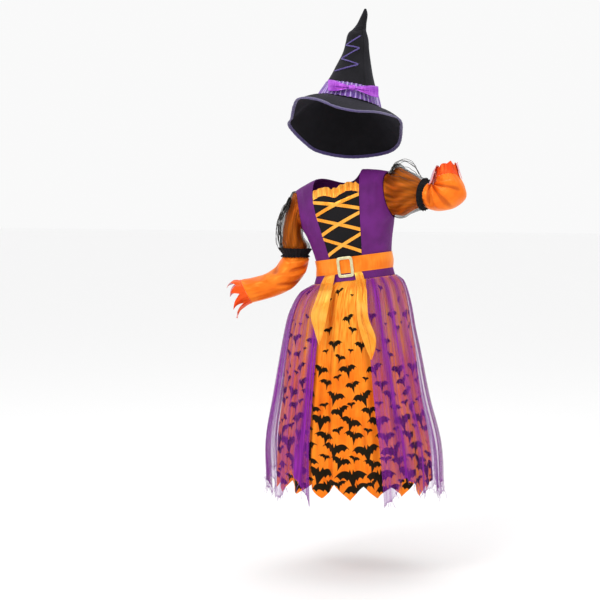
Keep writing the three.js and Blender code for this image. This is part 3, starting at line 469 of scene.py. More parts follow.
@dataclass(frozen=True)
class BatPrint(Satin):
    """Satin printed with rows of bats, which grow larger and closer towards the hem.

    Args:
        cell: The width and height of one bat's place at the hem, in metres.
        reach: How far up from the hem the bats thin out, in metres.
        plain: How high the hem stays plain, in metres.
    """

    cell: tuple[float, float] = (0.084, 0.064)
    reach: float = 0.47
    waist_highlight_share: float = 1.0
    gloss: float = 0.3
    plain: float = 0.024

    def printed(self, shader: Shader, across: Value, down: Value) -> Value:
        """Lays three offset sets of bats."""
        wide, high = self.cell
        mask = self.bats(shader, across, down, 0.0, 1.0)
        mask = mask.most(self.bats(shader, across + wide * 0.52, down + high * 0.5, 7.3, 0.84))
        return mask.most(self.bats(shader, across + wide * 0.27, down + high * 0.26, 3.1, 0.45))

    def bats(self, shader: Shader, across: Value, down: Value, seed: float, size: float) -> Value:
        """One set of bats, each in its own cell with its own place, size and tilt.

        Args:
            shader: The finish's nodes.
            across: The place across the cut cloth.
            down: The distance up from the hem.
            seed: What sets this set's chances apart.
            size: The bats' size, as a share of the cell's.

        Returns:
            The print's mask.
        """
        wide, high = self.cell
        up = (down - self.plain) / high
        row = up.maths("FLOOR")
        aside = across / wide + row * 0.5 + seed
        column = aside.maths("FLOOR")
        spot = shader.node("ShaderNodeCombineXYZ", None, {0: column, 1: row, 2: seed})
        chance = shader.node("ShaderNodeTexWhiteNoise", {"noise_dimensions": "3D"}, {0: spot}, "Color")
        one, two, three = (shader.node("ShaderNodeSeparateColor", None, {0: chance}, k) for k in range(3))
        height = row * (high / self.reach)
        half = (1.0 - height * 0.62).most(0.25) * (one * 0.22 + 0.9) * (size * wide * 0.5)
        there = (two + 0.2 + size * 0.05 - (height - 0.3).most(0.0) * 1.2).over(0.0, 0.01)
        there = there * (row + 0.5).over(0.0, 0.01)
        x = (aside - column - 0.5 + (two - 0.5) * 0.1) * wide
        y = (up - row - 0.5 + (three - 0.5) * 0.14) * high
        tilt = (one - 0.5) * 0.75
        return self.bat((x + y * tilt) / half, (y - x * tilt) / half - 0.18) * there

    def bat(self, x: Value, y: Value) -> Value:
        """The outline of one bat, whose wings reach from -1 to 1, with ears above and a tail below.

        Args:
            x: The place across, in half wing spans.
            y: The place up, in half wing spans.

        Returns:
            1 inside and 0 outside.
        """
        aside = abs(x)
        arch = (aside * math.pi).maths("SINE") * 0.27 + 0.13 - aside * 0.08
        ear = (0.08 - abs(aside - 0.1)).most(0.0) * 2.6
        scallop = abs((aside * (3 * math.pi)).maths("SINE")) * 0.16 - 0.4 + aside * 0.34
        tail = (0.24 - aside).most(0.0) * 2.0
        return (arch + ear - y).least(y - scallop + tail).least(1.0 - aside).over(0.0, 0.04)


@dataclass(frozen=True)
class Jersey(Finish):
    """The bodice's soft brushed knit, with fine ribs down it."""

    rib: float = 0.0011
    nap: float = 0.15

    def dress(self, shader: Shader) -> None:
        """Sets ribs, brushed nap and broad soft light and dark."""
        across, down, place = shader.flat()
        cloud = shader.noise(0.05, 3).over(0.3, 0.7)
        nap = shader.noise(0.0016, 4)
        rib = across.wave(self.rib) * 0.5 + down.wave(self.rib * 0.8) * 0.25
        shader.set(
            Base_Color=shader.blend(cloud * 0.6 + nap * 0.3, linear(self.colour), linear(self.other)),
            Roughness=nap * 0.2 + (self.roughness - 0.1),
            Normal=shader.relief(rib * 0.12 + nap + shader.noise(0.018, 2) * 2.5, 0.0005, 0.7),
            Sheen_Weight=self.nap,
            Sheen_Roughness=0.4,
            Sheen_Tint=linear("C060D0"),
            Specular_IOR_Level=0.25,
        )


@dataclass(frozen=True)
class Felt(Finish):
    """Pressed felt: matted fibres with no weave."""

    def dress(self, shader: Shader) -> None:
        """Sets fibres and pressed unevenness."""
        fibre = shader.noise(0.0009, 5)
        cloud = shader.noise(0.03, 3).over(0.3, 0.7)
        shader.set(
            Base_Color=shader.blend(cloud * 0.5 + fibre * 0.5, linear(self.colour), linear(self.other)),
            Roughness=fibre * 0.15 + (self.roughness - 0.08),
            Normal=shader.relief(fibre + shader.noise(0.006, 2) * 0.8, 0.0008, 0.8),
            Sheen_Weight=0.12,
            Sheen_Roughness=0.6,
            Sheen_Tint=linear("8A88A0"),
            Specular_IOR_Level=0.25,
        )


@dataclass(frozen=True)
class Net(Finish):
    """Open net or sheer cloth, which shows what is behind it, and less where its gathers close up.

    Args:
        uneven: How much the cover varies down the cloth, from 0 to 1.
        hole: The net's holes, in metres.
    """

    uneven: float = 0.3
    hole: float = 0.0012

    def dress(self, shader: Shader) -> None:
        """Sets the holes and the cover, from how closely the cloth is gathered."""
        across, down, place = shader.flat()
        drift = shader.noise(1.0, 2, shader.stretched(place, 90.0, 7.0)).over(0.3, 0.7)
        holes = across.wave(self.hole) * down.wave(self.hole * 1.1)
        cover = shader.share("cover") * (drift * self.uneven + (1 - self.uneven / 2)) + holes * 0.05
        colour = shader.blend(drift * 0.6, linear(self.colour), linear(self.other))
        shader.set(
            Base_Color=colour,
            Roughness=self.roughness,
            Alpha=cover.most(0.02).least(0.98),
            Normal=shader.relief(holes * 0.3 + drift, 0.0004, 0.5),
            Specular_IOR_Level=0.1,
        )


@dataclass(frozen=True)
class Striped(Finish):
    """The hat's gathered band: satin with pale stripes woven down it.

    Args:
        pale: The stripes' code.
        stripe: How far apart they are, in metres.
    """

    pale: str = "C9B4E8"
    stripe: float = 0.0135

    def dress(self, shader: Shader) -> None:
        """Sets the stripes, which wander a little with the gathers."""
        across, down, place = shader.flat()
        wander = shader.noise(1.0, 2, shader.stretched(place, 90.0, 20.0)) * 0.006
        wide = (across + wander).wave(self.stripe).over(0.45, 0.95)
        thin = (across + wander).wave(self.stripe * 0.29).over(0.6, 1.0)
        cloud = shader.noise(0.012, 3).over(0.3, 0.7)
        ground = shader.blend(cloud, linear(self.colour), linear(self.other))
        shader.set(
            Base_Color=shader.blend(wide * 0.75 + thin * 0.22, ground, linear(self.pale)),
            Roughness=cloud * 0.1 + self.roughness,
            Normal=shader.relief(across.wave(0.0006) * 0.1 + cloud, 0.0005, 0.6),
            Sheen_Weight=0.3,
        )


@dataclass(frozen=True)
class Plated(Finish):
    """The buckle's pale gold plate, brushed and a little worn."""

    def dress(self, shader: Shader) -> None:
        """Sets brushing and small dents."""
        place = shader.node("ShaderNodeTexCoord", None, None, "Object")
        brushed = shader.noise(0.001, 2, shader.stretched(place, 8.0, 1.0))
        worn = shader.noise(0.006, 3).over(0.4, 0.7)
        shader.set(
            Base_Color=shader.blend(worn * 0.6, linear(self.colour), linear(self.other)),
            Roughness=brushed * 0.15 + worn * 0.12 + self.roughness,
            Metallic=0.85,
            Normal=shader.relief(brushed * 0.3 + worn, 0.0003, 0.6),
        )


@dataclass(frozen=True)
class Corded(Finish):
    """Twisted or braided cord, and bound edges.

    Args:
        twist: One turn's length, in metres.
    """

    twist: float = 0.003

    def dress(self, shader: Shader) -> None:
        """Sets the twist as slanting ridges, in the bump and as painted shade and highlight in the colour.
        """
        across, down, _ = shader.flat()
        ridge = (across + down * 0.7).wave(self.twist)
        fuzz = shader.noise(0.001, 3)
        # Painted shade and highlight: the colour follows the ridges, darker in the grooves and lighter on
        # the crests.
        shader.set(
            Base_Color=shader.blend(
                ridge * 0.25 + fuzz * 0.6 + 0.1, linear(self.colour), linear(self.other)
            ),
            Roughness=self.roughness,
            Normal=shader.relief(ridge * 0.5 + fuzz * 0.5, 0.0006, 0.8),
            Sheen_Weight=0.4,
        )


@dataclass(frozen=True)
class Thread(Finish):
    """Sewing or torn thread."""

    def dress(self, shader: Shader) -> None:
        """Sets a colour that varies a little along the thread."""
        fuzz = shader.noise(0.002, 2)
        shader.set(
            Base_Color=shader.blend(fuzz, linear(self.colour), linear(self.other)),
            Roughness=self.roughness,
            Sheen_Weight=0.3,
        )


class Look(Enum):
    """The finishes of this costume, by what they dress."""

    PURPLE = Jersey("purple_jersey", "purple_cloth", "540F5C", "722080", 0.66)
    BLACK = Jersey("black_jersey", "black_cloth", "070608", "121014", 0.8, nap=0.03)
    ORANGE = Satin("orange_satin", "orange_satin", "F0690A", "FF8A22")
    PRINTED = BatPrint("bat_satin", "orange_satin", "F2700C", "FF9426")
    BELT = Satin("belt_satin", "orange_satin", "F2700E", "FF9A30", 0.34)
    GOLD = Satin("gold_satin", "gold_ribbon", "F5931C", "FFC054", 0.3, sheen="FFF0C0", shine=0.3)
    CUFF = Satin("cuff_satin", "red_orange_satin", "E8380C", "FF6A22", 0.4)
    REVERSE = Satin("cuff_reverse", "red_orange_satin", "DDA0B0", "EBC0CA", 0.5, sheen="FFFFFF", shine=0.0)
    NET = Net("purple_net", "purple_net", "7A1C90", "AC3EB6", 0.75)
    SHEER = Net("black_sheer", "black_sheer", "0C0503", "1C0C06", 0.8, uneven=0.12, hole=0.0006)
    GAUZE = Net("black_gauze", "black_sheer", "0A0908", "1C1814", 0.9)
    DARK_THREAD = Thread("dark_thread", "black_sheer", "0A0908", "1C1814", 0.9)
    NET_THREAD = Thread("net_thread", "purple_net", "7A2A8A", "A050B0", 0.8)
    CORD_THREAD = Thread("cord_thread", "violet_cloth", "43307C", "6A55A8", 0.8)
    FELT = Felt("black_felt", "black_felt", "080709", "151418", 0.9)
    BAND = Striped("hat_band", "violet_cloth", "4A2488", "7A3AA8", 0.4)
    CORD = Corded("violet_cord", "violet_cloth", "43307C", "6A55A8", 0.6)
    BINDING = Corded("violet_binding", "violet_cloth", "33235E", "55408C", 0.7, twist=0.0012)
    BOW = Satin("bow_satin", "bow_satin", "8A22B4", "C86AE8", 0.26, sheen="F0D0FF", shine=0.35)
    METAL = Plated("buckle_plate", "buckle_metal", "D8D0A0", "F2EDD0", 0.25)


@dataclass(frozen=True)
class Creases:
    """Soft ridges and troughs placed one by one on a cloth.

    Args:
        rows: From u and v, to u and v, half width in millimetres, and height, which is below 0 in a trough.
        scale: How many millimetres one of u and one of v are, near enough.
        laps: True where u goes round a tube.
    """

    rows: tuple[tuple[float, float, float, float, float, float], ...]
    scale: tuple[float, float]
    laps: bool = False

    def height(self, u: Array, v: Array) -> Array:
        """How far the cloth stands off at places on it."""
        total = np.zeros(np.broadcast(u, v).shape)
        for u0, v0, u1, v1, width, height in self.rows:
            du = u - u0
            if self.laps:
                du = (du + math.pi) % (2 * math.pi) - math.pi
            x, y = du * self.scale[0], (v - v0) * self.scale[1]
            ax, ay = (u1 - u0) * self.scale[0], (v1 - v0) * self.scale[1]
            t = np.clip((x * ax + y * ay) / (ax * ax + ay * ay), 0, 1)
            away = np.hypot(x - t * ax, y - t * ay)
            total += height * np.exp(-((away / width) ** 2)) * (1 - 0.75 * (2 * t - 1) ** 4)
        return total


@dataclass
class Cloth:
    """A thin cloth wall over a surface, as a grid of places across it and along it.

    Args:
        name: The piece's name, and the solid's that it stands for.
        look: Its finish.
        surface: Where the outer skin is, before its relief.
        inside: A place, or places, on its inner side.
        across: The grid's values of u.
        along: The grid's values of v.
        thick: The wall, in millimetres.
        closed: True for a tube.
        relief: How far the cloth stands off the surface.
        cover: How much of what is behind it the cloth hides, from 0 to 1.
        flat: The cut cloth's own place of each grid point, in metres.
        reverse: The finish of its inner side, if that is another.
        turned_over: Where the cloth is turned over, and shows its reverse.
        cut_row: The row whose width is declared, where the widest one runs up and down points.
        held: How the cloth is held, which is not used.
        rests_on: What it lies on or hangs from.
    """

    name: str
    look: Look
    surface: Surface
    inside: Surface | Array
    across: Array
    along: Array
    thick: float = 0.8
    closed: bool = False
    relief: Relief | None = None
    cover: Relief | None = None
    flat: Callable[[Array, Array, Array], tuple[Array, Array]] | None = None
    reverse: Look | None = None
    turned_over: Relief | None = None
    cut_row: int | None = None
    held: str = "hung"
    rests_on: tuple[str, ...] = ()

    def skins(self) -> tuple[Array, Array, Array, Array]:
        """Works out the grid and both skins.

        Returns:
            u, v, the outer skin and the inner one, in millimetres.
        """
        u, v = np.meshgrid(self.across, self.along)
        base, normal = self.surface(u, v), normals(self.surface, self.inside, u, v)
        rise = self.relief(u, v) if self.relief else np.zeros(u.shape)
        return u, v, base + normal * rise[..., None], base + normal * (rise - self.thick)[..., None]

    def arcs(self, skin: Array) -> tuple[Array, Array]:
        """The cut cloth's place of each grid point, measured along the skin, in metres."""
        ring = np.concatenate([skin, skin[:, :1]], axis=1) if self.closed else skin
        steps = np.linalg.norm(np.diff(ring, axis=1), axis=-1)
        widest = steps[steps.sum(axis=1).argmax()]
        down = np.linalg.norm(np.diff(skin, axis=0), axis=-1).mean(axis=1)
        x = np.concatenate([[0], np.cumsum(widest)]) * MM
        y = np.concatenate([[0], np.cumsum(down)]) * MM
        return np.broadcast_arrays(x[None, :], y[:, None])

    def build(self) -> bpy.types.Object:
        """Makes the wall, dresses it, and puts it in its solid's place."""
        u, v, outer, inner = self.skins()
        rows, columns = u.shape
        x, y = self.flat(u, v, outer) if self.flat else self.arcs(outer)
        if x.shape[1] == columns and self.closed:
            x, y = (np.concatenate([a, a[:, :1]], axis=1) for a in (x, y))
        faces, corners, inner_faces = wall_faces(rows, columns, self.closed)
        points = np.concatenate([outer.reshape(-1, 3), inner.reshape(-1, 3)]) * MM
        mesh = bpy.data.meshes.new(self.name + "_cloth")
        mesh.from_pydata(points.tolist(), [], faces.tolist())
        places = np.stack([x, y], axis=-1).reshape(-1, 2)[corners.ravel()]
        made = finish_mesh(mesh, places, facing_out(points, faces))
        if self.cover is not None:
            hidden = np.clip(self.cover(u, v), 0.0, 0.995)
            each = 1 - np.sqrt(1 - hidden)
            attribute = mesh.attributes.new("cover", "FLOAT", "POINT")
            attribute.data.foreach_set("value", np.tile(each.ravel(), 2).astype(np.float32))
        rise = self.relief(u, v) if self.relief else np.zeros(u.shape)
        # How deep each point lies in a trough of the relief, by which the satin paints shade into its
        # colour.
        trough = np.clip((np.median(rise) - 0.4 - rise) / 2.6, 0, 1) * np.ones(u.shape)
        attribute = mesh.attributes.new("trough", "FLOAT", "POINT")
        attribute.data.foreach_set("value", np.tile(trough.ravel(), 2).astype(np.float32))
        mesh.materials.append(self.look.value.make())
        if self.reverse:
            mesh.materials.append(self.reverse.value.make())
            which = np.isin(np.arange(len(faces)), inner_faces).astype(np.int32)
            if self.turned_over:
                over = self.turned_over(u[:-1], v[:-1])
                which[: over.size] = over.ravel()
            mesh.polygons.foreach_set("material_index", which)
        place(made, self.look, self.name)
        self.declare(made, outer)
        return made

    def declare(self, made: bpy.types.Object, outer: Array) -> None:
        """Says what size the cloth was cut to."""
        ring = np.concatenate([outer, outer[:, :1]], axis=1) if self.closed else outer
        widths = np.linalg.norm(np.diff(ring, axis=1), axis=-1).sum(axis=1) * MM
        width = widths.max() if self.cut_row is None else widths[self.cut_row]
        length = np.linalg.norm(np.diff(outer, axis=0), axis=-1).sum(axis=0).max() * MM
        area = sum(face.area for face in made.data.polygons) / 2
        if area < 0.45 * width * length:
            length = area / (0.8 * width)
        cut = max(round(width, 3), 0.01), max(round(length, 3), 0.01)
        list(self.rests_on)
        LOG.info("%s: %d faces, cut %.3f by %.3f m, %.4f m2", self.name, len(made.data.polygons), *cut, area)


def wall_faces(rows: int, columns: int, closed: bool) -> tuple[Array, Array, Array]:
    """The faces of a wall between two grids of points.

    Args:
        rows: The grid's rows.
        columns: The grid's columns.
        closed: True for a tube.

    Returns:
        The faces' points, the cut cloth's place of each of their corners,
        and which faces are the inner skin.
    """
    cells = columns if closed else columns - 1
    stride = columns + 1 if closed else columns
    i, j = (a.ravel() for a in np.meshgrid(np.arange(cells), np.arange(rows - 1)))

    def corner(skin: int, column: Array, row: Array) -> tuple[Array, Array]:
        """The point and the cut cloth's place at a skin's column and row."""
        return skin * rows * columns + row * columns + column % columns, row * stride + column

    def quads(*four: tuple[Array, Array]) -> Array:
        """Faces from four corners, as points and as places of the cut cloth."""
        return np.stack([np.stack([f[k] for f in four], axis=-1) for k in (0, 1)])

    outer = quads(corner(0, i, j), corner(0, i + 1, j), corner(0, i + 1, j + 1), corner(0, i, j + 1))
    inner = quads(corner(1, i, j), corner(1, i, j + 1), corner(1, i + 1, j + 1), corner(1, i + 1, j))
    c, top = np.arange(cells), np.full(cells, rows - 1)
    low = np.zeros(cells, int)
    parts = [
        outer,
        inner,
        quads(corner(0, c, low), corner(1, c, low), corner(1, c + 1, low), corner(0, c + 1, low)),
        quads(corner(0, c, top), corner(0, c + 1, top), corner(1, c + 1, top), corner(1, c, top)),
    ]
    if not closed:
        r = np.arange(rows - 1)
        first, last = np.zeros(rows - 1, int), np.full(rows - 1, columns - 1)
        parts.append(
            quads(corner(0, first, r), corner(0, first, r + 1), corner(1, first, r + 1), corner(1, first, r))
        )
        parts.append(
            quads(corner(0, last, r), corner(1, last, r), corner(1, last, r + 1), corner(0, last, r + 1))
        )
    faces = np.concatenate(parts, axis=1)
    return faces[0], faces[1], np.arange(len(i), 2 * len(i))


def facing_out(points: Array, faces: Array) -> bool:
    """True if the faces of a closed shape point outwards."""
    a, b, c, d = (points[faces[:, k]] for k in range(4))
    volume = np.sum(a * np.cross(b, c)) + np.sum(a * np.cross(c, d))
    return bool(volume > 0)


def finish_mesh(mesh: bpy.types.Mesh, places: Array, outwards: bool) -> bpy.types.Object:
    """Gives a mesh its cut places, outward faces and smooth shading, and links its object.

    Args:
        mesh: The mesh, whose faces' corners are in the order of the places.
        places: The cut cloth's place of each corner, in metres.
        outwards: False if the faces point inwards.

    Returns:
        The object.
    """
    layer = mesh.uv_layers.new(name="flat")
    layer.data.foreach_set("uv", places.astype(np.float32).ravel())
    if not outwards:
        mesh.flip_normals()
    mesh.shade_smooth()
    mesh.set_sharp_from_angle(angle=math.radians(62))
    made = bpy.data.objects.new(mesh.name, mesh)
    bpy.context.scene.collection.objects.link(made)
    return made


def place(made: bpy.types.Object, look: Look, *nodes: str) -> None:
    """Puts a piece on the costume's one body, in place of its solids."""
    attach(made, ROOT)
    if nodes:
        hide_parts(*nodes)


@dataclass(frozen=True)
class Stance:
    """How the dress stands: its waist's middle, and how far its bodice leans to the right."""

    waist: tuple[float, float, float] = (37.0, 0.0, -229.0)
    to_shoulder: float = 232.0
    lean_at_waist: float = math.radians(7.5)
    lean_at_shoulder: float = math.radians(12)
    sleeves_turn: float = math.radians(18)

    def place(self, across: Array | float, depth: Array | float, height: Array | float) -> Array:
        """A point from its place across, its depth and its height over the waist."""
        height = np.asarray(height, float)
        straightens = np.where(height < 0, smooth((height + 160) / 120), 1.0)
        bends = np.clip(height / self.to_shoulder, 0, 2)
        lean = mix(self.lean_at_waist, self.lean_at_shoulder, bends) * straightens
        spine = np.where(height > 0, (self.lean_at_waist + lean) / 2, 0.0)
        x = self.waist[0] + across * np.cos(lean) - height * np.sin(spine)
        z = self.waist[2] + across * np.sin(lean) + height * np.cos(spine)
        return vectors(x, depth, z)

    def turned(self, right: Array | float, up: Array | float, forward: Array | float) -> Array:
        """A point of the sleeves' and the hat's frame, which is turned about the vertical."""
        c, s = math.cos(self.sleeves_turn), math.sin(self.sleeves_turn)
        return vectors(right * c + forward * s, right * s - forward * c, up)


STANCE = Stance()
HALF_PI = math.pi / 2


@dataclass(frozen=True)
class Torso:
    """The bodice's outer form: elliptic rings that turn over the shoulders, with an armhole at each side."""

    rings: Table = Table(
        "half_width half_depth",
        (
            (-0.2, 104, 86),
            (0, 94, 78),
            (0.25, 104, 84),
            (0.48, 119, 91),
            (0.7, 125, 90),
            (1, 127, 86),
        ),
    )
    shoulder_drop: float = 26
    turns_over_at: float = 0.6
    armhole_levels: tuple[float, float] = (0.43, 0.995)
    armhole_half_angle: float = math.radians(28)

    def over(self, level: Array) -> Array:
        """How far a level has turned over the shoulders, as an angle."""
        return np.maximum(0, level - self.turns_over_at) / (1 - self.turns_over_at) * HALF_PI

    def height_of(self, level: Array | float) -> Array:
        """How high a level is over the waist, before the shoulders' slope."""
        level = np.asarray(level, float)
        share = np.minimum(level, self.turns_over_at) + (1 - self.turns_over_at) * np.sin(self.over(level))
        return STANCE.to_shoulder * share

    def level_of(self, height: Array | float) -> Array:
        """The level at a height over the waist."""
        share = np.asarray(height, float) / STANCE.to_shoulder
        rest = np.clip((share - self.turns_over_at) / (1 - self.turns_over_at), 0, 1)
        return np.minimum(share, self.turns_over_at) + (1 - self.turns_over_at) * np.arcsin(rest) / HALF_PI

    def surface(self, angle: Array, level: Array) -> Array:
        """The outer surface, by an angle that is 0 in front and grows to the left, and a level."""
        angle, level = np.broadcast_arrays(np.asarray(angle, float), np.asarray(level, float))
        ring, over = self.rings.read(level), self.over(level)
        depth = -ring["half_depth"] * np.cos(over) * np.cos(angle)
        slope = self.shoulder_drop * smooth((level - 0.45) / 0.55) * np.sin(angle) ** 2
        return STANCE.place(ring["half_width"] * np.sin(angle), depth, self.height_of(level) - slope)

    def angle_across(self, across: Array, level: Array) -> Array:
        """The angle at a distance across."""
        return np.arcsin(np.clip(across / self.rings.read(level)["half_width"], -1, 1))

    def armhole_at(self, level: Array) -> Array:
        """How far the armhole's edge is from the side, as an angle, at a level."""
        low, high = self.armhole_levels
        share = (np.asarray(level, float) - (low + high) / 2) / ((high - low) / 2)
        return self.armhole_half_angle * np.sqrt(np.maximum(0, 1 - share**2))

    def armhole(self, side: int) -> Loop:
        """The armhole's edge as a loop, from the shoulder down the front and up the back."""
        low, high = self.armhole_levels

        def edge(turn: Array) -> Array:
            """The armhole's edge, once around."""
            angle = side * (HALF_PI - self.armhole_half_angle * np.sin(turn))
            return self.surface(angle, (low + high) / 2 + (high - low) / 2 * np.cos(turn))

        return edge

    def core(self, level: float) -> Array:
        """The bodice's middle at a level."""
        return STANCE.place(0.0, 0.0, self.height_of(level))


TORSO = Torso()
SIDES = {"right": -1, "left": 1}


@dataclass(frozen=True)
class Bodice:
    """The bodice: a black front panel with a ruffled neckline, four purple panels and ribbon lacing."""

    cloth: float = 1.2
    waist_half: float = 39
    neck_half: float = 61
    widest_at: float = 0.72
    foot: float = 0.05
    dip: float = 0.672
    side: float = 0.69
    lobe: float = 0.018
    back_neck: float = 0.8
    ruffle_height: float = 0.072
    ruffle_waves: int = 9
    ruffle_depth: float = 1.5
    lacing_heights: tuple[float, ...] = (172, 127, 76, 24)
    lacing_apart: float = 10.4
    lacing_width: float = 8.6
    lacing_thick: float = 0.8
    band_levels: tuple[float, float] = (-0.165, 0.045)

    def panel_edge(self, level: Array) -> Array:
        """How far across the front panel's edge is at a level."""
        return mix(self.waist_half, self.neck_half, np.minimum(1, level / self.widest_at))

    def neckline(self, across: Array) -> Array:
        """The level of the neckline: two lobes, and a dip between them."""
        share = np.abs(across) / self.neck_half
        return (
            mix(self.dip, self.side, smooth(share * 1.6))
            + self.lobe * np.sin(math.pi * np.minimum(1, share))
        )

    def build(self) -> None:
        """Makes every piece of the bodice."""
        self.front_panel()
        self.ruffle()
        self.panels()
        self.lacing()
        self.waistband()

    def front_panel(self) -> None:
        """The black panel, which dents a little under the lacing."""

        def surface(share: Array, rise: Array) -> Array:
            """The panel's place, by the share across and the rise."""
            level = mix(self.foot, self.neckline(share * self.neck_half), rise)
            edge = TORSO.angle_across(self.panel_edge(level) - SEAM_GAP, level)
            return TORSO.surface(edge * share, level)

        def relief(share: Array, rise: Array) -> Array:
            """Puckers at the panel's sides and a soft unevenness."""
            puckers = 0.35 * np.sin(rise * 23 + share * 3) * bump(np.abs(share), 1.0, 0.5)
            return puckers + 0.25 * np.sin(share * 5 + rise * 9)

        Cloth(
            "bodice_front_panel", Look.BLACK, surface, TORSO.core(0.4), np.linspace(-1, 1, 45),
            np.linspace(0, 1, 61),
            thick=self.cloth, relief=relief, held="stretched",
        ).build()

    def ruffle(self) -> None:
        """The gathered ruffle that stands on the neckline."""

        def surface(share: Array, rise: Array) -> Array:
            """The ruffle's place, from its seam up to its wavy edge."""
            foot = self.neckline(share * self.neck_half) + 0.003
            wavy = 0.92 + 0.07 * np.cos(share * math.pi * 7) + 0.03 * np.sin(share * 13)
            level = foot + self.ruffle_height * rise * wavy
            edge = TORSO.angle_across(self.panel_edge(level) - 2 * SEAM_GAP, level)
            return TORSO.surface(edge * share, level)

        def relief(share: Array, rise: Array) -> Array:
            """The ruffle's waves."""
            drift = 0.9 * np.sin(share * 7 + 1)
            wave = np.cos(share * math.pi * self.ruffle_waves + drift)
            fine = 0.3 * np.cos(share * math.pi * 41 + rise) * (1 - rise)
            return self.ruffle_depth * (0.7 + 0.5 * rise) * (wave + fine + 1.2)

        Cloth(
            "neckline_ruffle", Look.GOLD, surface, TORSO.core(0.4), np.linspace(-1, 1, 301),
            np.linspace(0, 1, 13),
            relief=relief, held="gathered", rests_on=("bodice_front_panel",),
        ).build()

    def panels(self) -> None:
        """The four purple panels."""
        gap = SEAM_GAP / 2 / 94
        levels = np.concatenate([np.linspace(self.foot, 0.8, 50), np.linspace(0.8, 0.992, 22)[1:]])

        def neck_edge(level: Array) -> Array:
            """The angle of the neck's edge at a level."""
            rise = np.clip((level - self.back_neck) / (1 - self.back_neck), 0, 1)
            return math.pi - np.maximum(gap, TORSO.angle_across(self.neck_half * np.sqrt(rise), level))

        for name, side in SIDES.items():
            edges = {
                f"bodice_front_{name}": (
                    lambda level: TORSO.angle_across(self.panel_edge(level), level),
                    lambda level: HALF_PI - TORSO.armhole_at(level) - gap,
                    FRONT_CREASES[name],
                    -SEAM_GAP / 2,
                ),
                f"bodice_back_{name}": (
                    lambda level: HALF_PI + TORSO.armhole_at(level) + gap,
                    neck_edge,
                    BACK_CREASES,
                    SEAM_GAP / 2,
                ),
            }
            for piece, (start, end, creases, nudge) in edges.items():
                self.panel(piece, side, start, end, creases, nudge, levels)

    def panel(
        self, name: str, side: int, start: Relief, end: Relief, creases: Creases, nudge: float, levels: Array
    ) -> None:
        """One purple panel between two edges.

        Args:
            name: The piece's name.
            side: -1 on the right and 1 on the left.
            start: The angle of its first edge at a level.
            end: The angle of its other edge at a level.
            creases: Its creases.
            nudge: How far back it is moved, to leave the side seam open.
            levels: The grid's levels.
        """

        def surface(share: Array, level: Array) -> Array:
            """The panel's place between its two seams."""
            point = TORSO.surface(side * mix(start(level), end(level), share), level)
            return point + np.array([0, nudge, 0])

        def relief(share: Array, level: Array) -> Array:
            """Topstitched edges and soft creases."""
            edge = np.minimum(share, 1 - share)
            topstitch = -0.35 * bump(edge, 0.055, 0.016)
            soft = 0.35 * np.sin(level * 21 + share * 4) * np.sin(share * 7 + 1)
            return (creases.height(share, level) + soft) * smooth(edge * 9) + topstitch

        Cloth(
            name, Look.PURPLE, surface, TORSO.core(0.45), np.linspace(0, 1, 61), levels,
            thick=self.cloth, relief=relief, held="stretched",
        ).build()

    def lacing(self) -> None:
        """The ribbons that cross the front panel, the upper ones of which arch over the lower."""
        for i in range(len(self.lacing_heights) - 1):
            for name, side in (("under", -1), ("over", 1)):
                self.ribbon(f"lacing_{i + 1}_{name}", i, side)

    def ribbon(self, name: str, i: int, side: int) -> None:
        """One length of ribbon, from edge to edge of the panel."""
        start = self.lacing_heights[i] - self.lacing_apart / 2
        end = self.lacing_heights[i + 1] + self.lacing_apart / 2

        def surface(share: Array, across: Array) -> Array:
            """The ribbon's place, along it and across."""
            level = TORSO.level_of(mix(start, end, share) + across * (self.lacing_width / 2))
            edge = TORSO.angle_across(self.panel_edge(level) - 1, level)
            return TORSO.surface(side * edge * (1 - 2 * share), level)

        def relief(share: Array, across: Array) -> Array:
            """The ribbon's arch where it crosses, and its twist."""
            arch = 1.7 * smooth(1 - np.abs(share - 0.5) / 0.28) if side > 0 else 0
            twist = 0.22 * np.sin(share * 41 + i) * across + 0.15 * np.sin(share * 19 + 2 * i)
            return 0.9 + self.lacing_thick + arch + 0.25 * (1 - across**2) + twist

        Cloth(
            name, Look.GOLD, surface, TORSO.core(0.4), np.linspace(0, 1, 81), np.linspace(-1, 1, 7),
            thick=self.lacing_thick, relief=relief, rests_on=("bodice_front_panel",), held="stretched",
        ).build()

    def waistband(self) -> None:
        """The purple band under the belt, drawn in small puckers by its elastic."""

        def relief(angle: Array, level: Array) -> Array:
            """Gathers at the lower edge."""
            low = smooth((0.0 - level) / 0.1)
            return (
                (0.4 * np.cos(angle * 61) + 0.25 * np.sin(angle * 37 + 1)) * low
                + 0.2 * np.sin(angle * 13)
            )

        Cloth(
            "waistband", Look.PURPLE, TORSO.surface, TORSO.core(0), turns_of(240),
            np.linspace(*self.band_levels, 15),
            thick=self.cloth, closed=True, relief=relief, held="gathered",
        ).build()


def turns_of(count: int) -> Array:
    """Angles once round, without the last, which is the first again."""
    return np.linspace(0, 2 * math.pi, count, endpoint=False)


PANEL_SCALE = (95, 232)
FRONT_CREASES = {
    "right": Creases(
        (
            (0.95, 0.5, 0.35, 0.36, 5, 1.6),
            (0.95, 0.44, 0.5, 0.25, 6, -1.3),
            (0.9, 0.62, 0.45, 0.5, 7, 1.1),
            (0.55, 0.9, 0.35, 0.66, 8, 1.2),
            (0.2, 0.2, 0.75, 0.1, 6, 1.0),
            (0.8, 0.3, 0.9, 0.08, 6, -1.0),
        ),
        PANEL_SCALE,
    ),
    "left": Creases(
        (
            (0.9, 0.56, 0.45, 0.42, 7, 1.5),
            (0.95, 0.48, 0.4, 0.3, 6, -1.2),
            (0.75, 0.9, 0.55, 0.62, 9, 1.3),
            (0.3, 0.85, 0.25, 0.55, 8, 1.0),
            (0.2, 0.3, 0.8, 0.2, 8, 1.0),
            (0.15, 0.12, 0.6, 0.08, 6, -0.9),
        ),
        PANEL_SCALE,
    ),
}
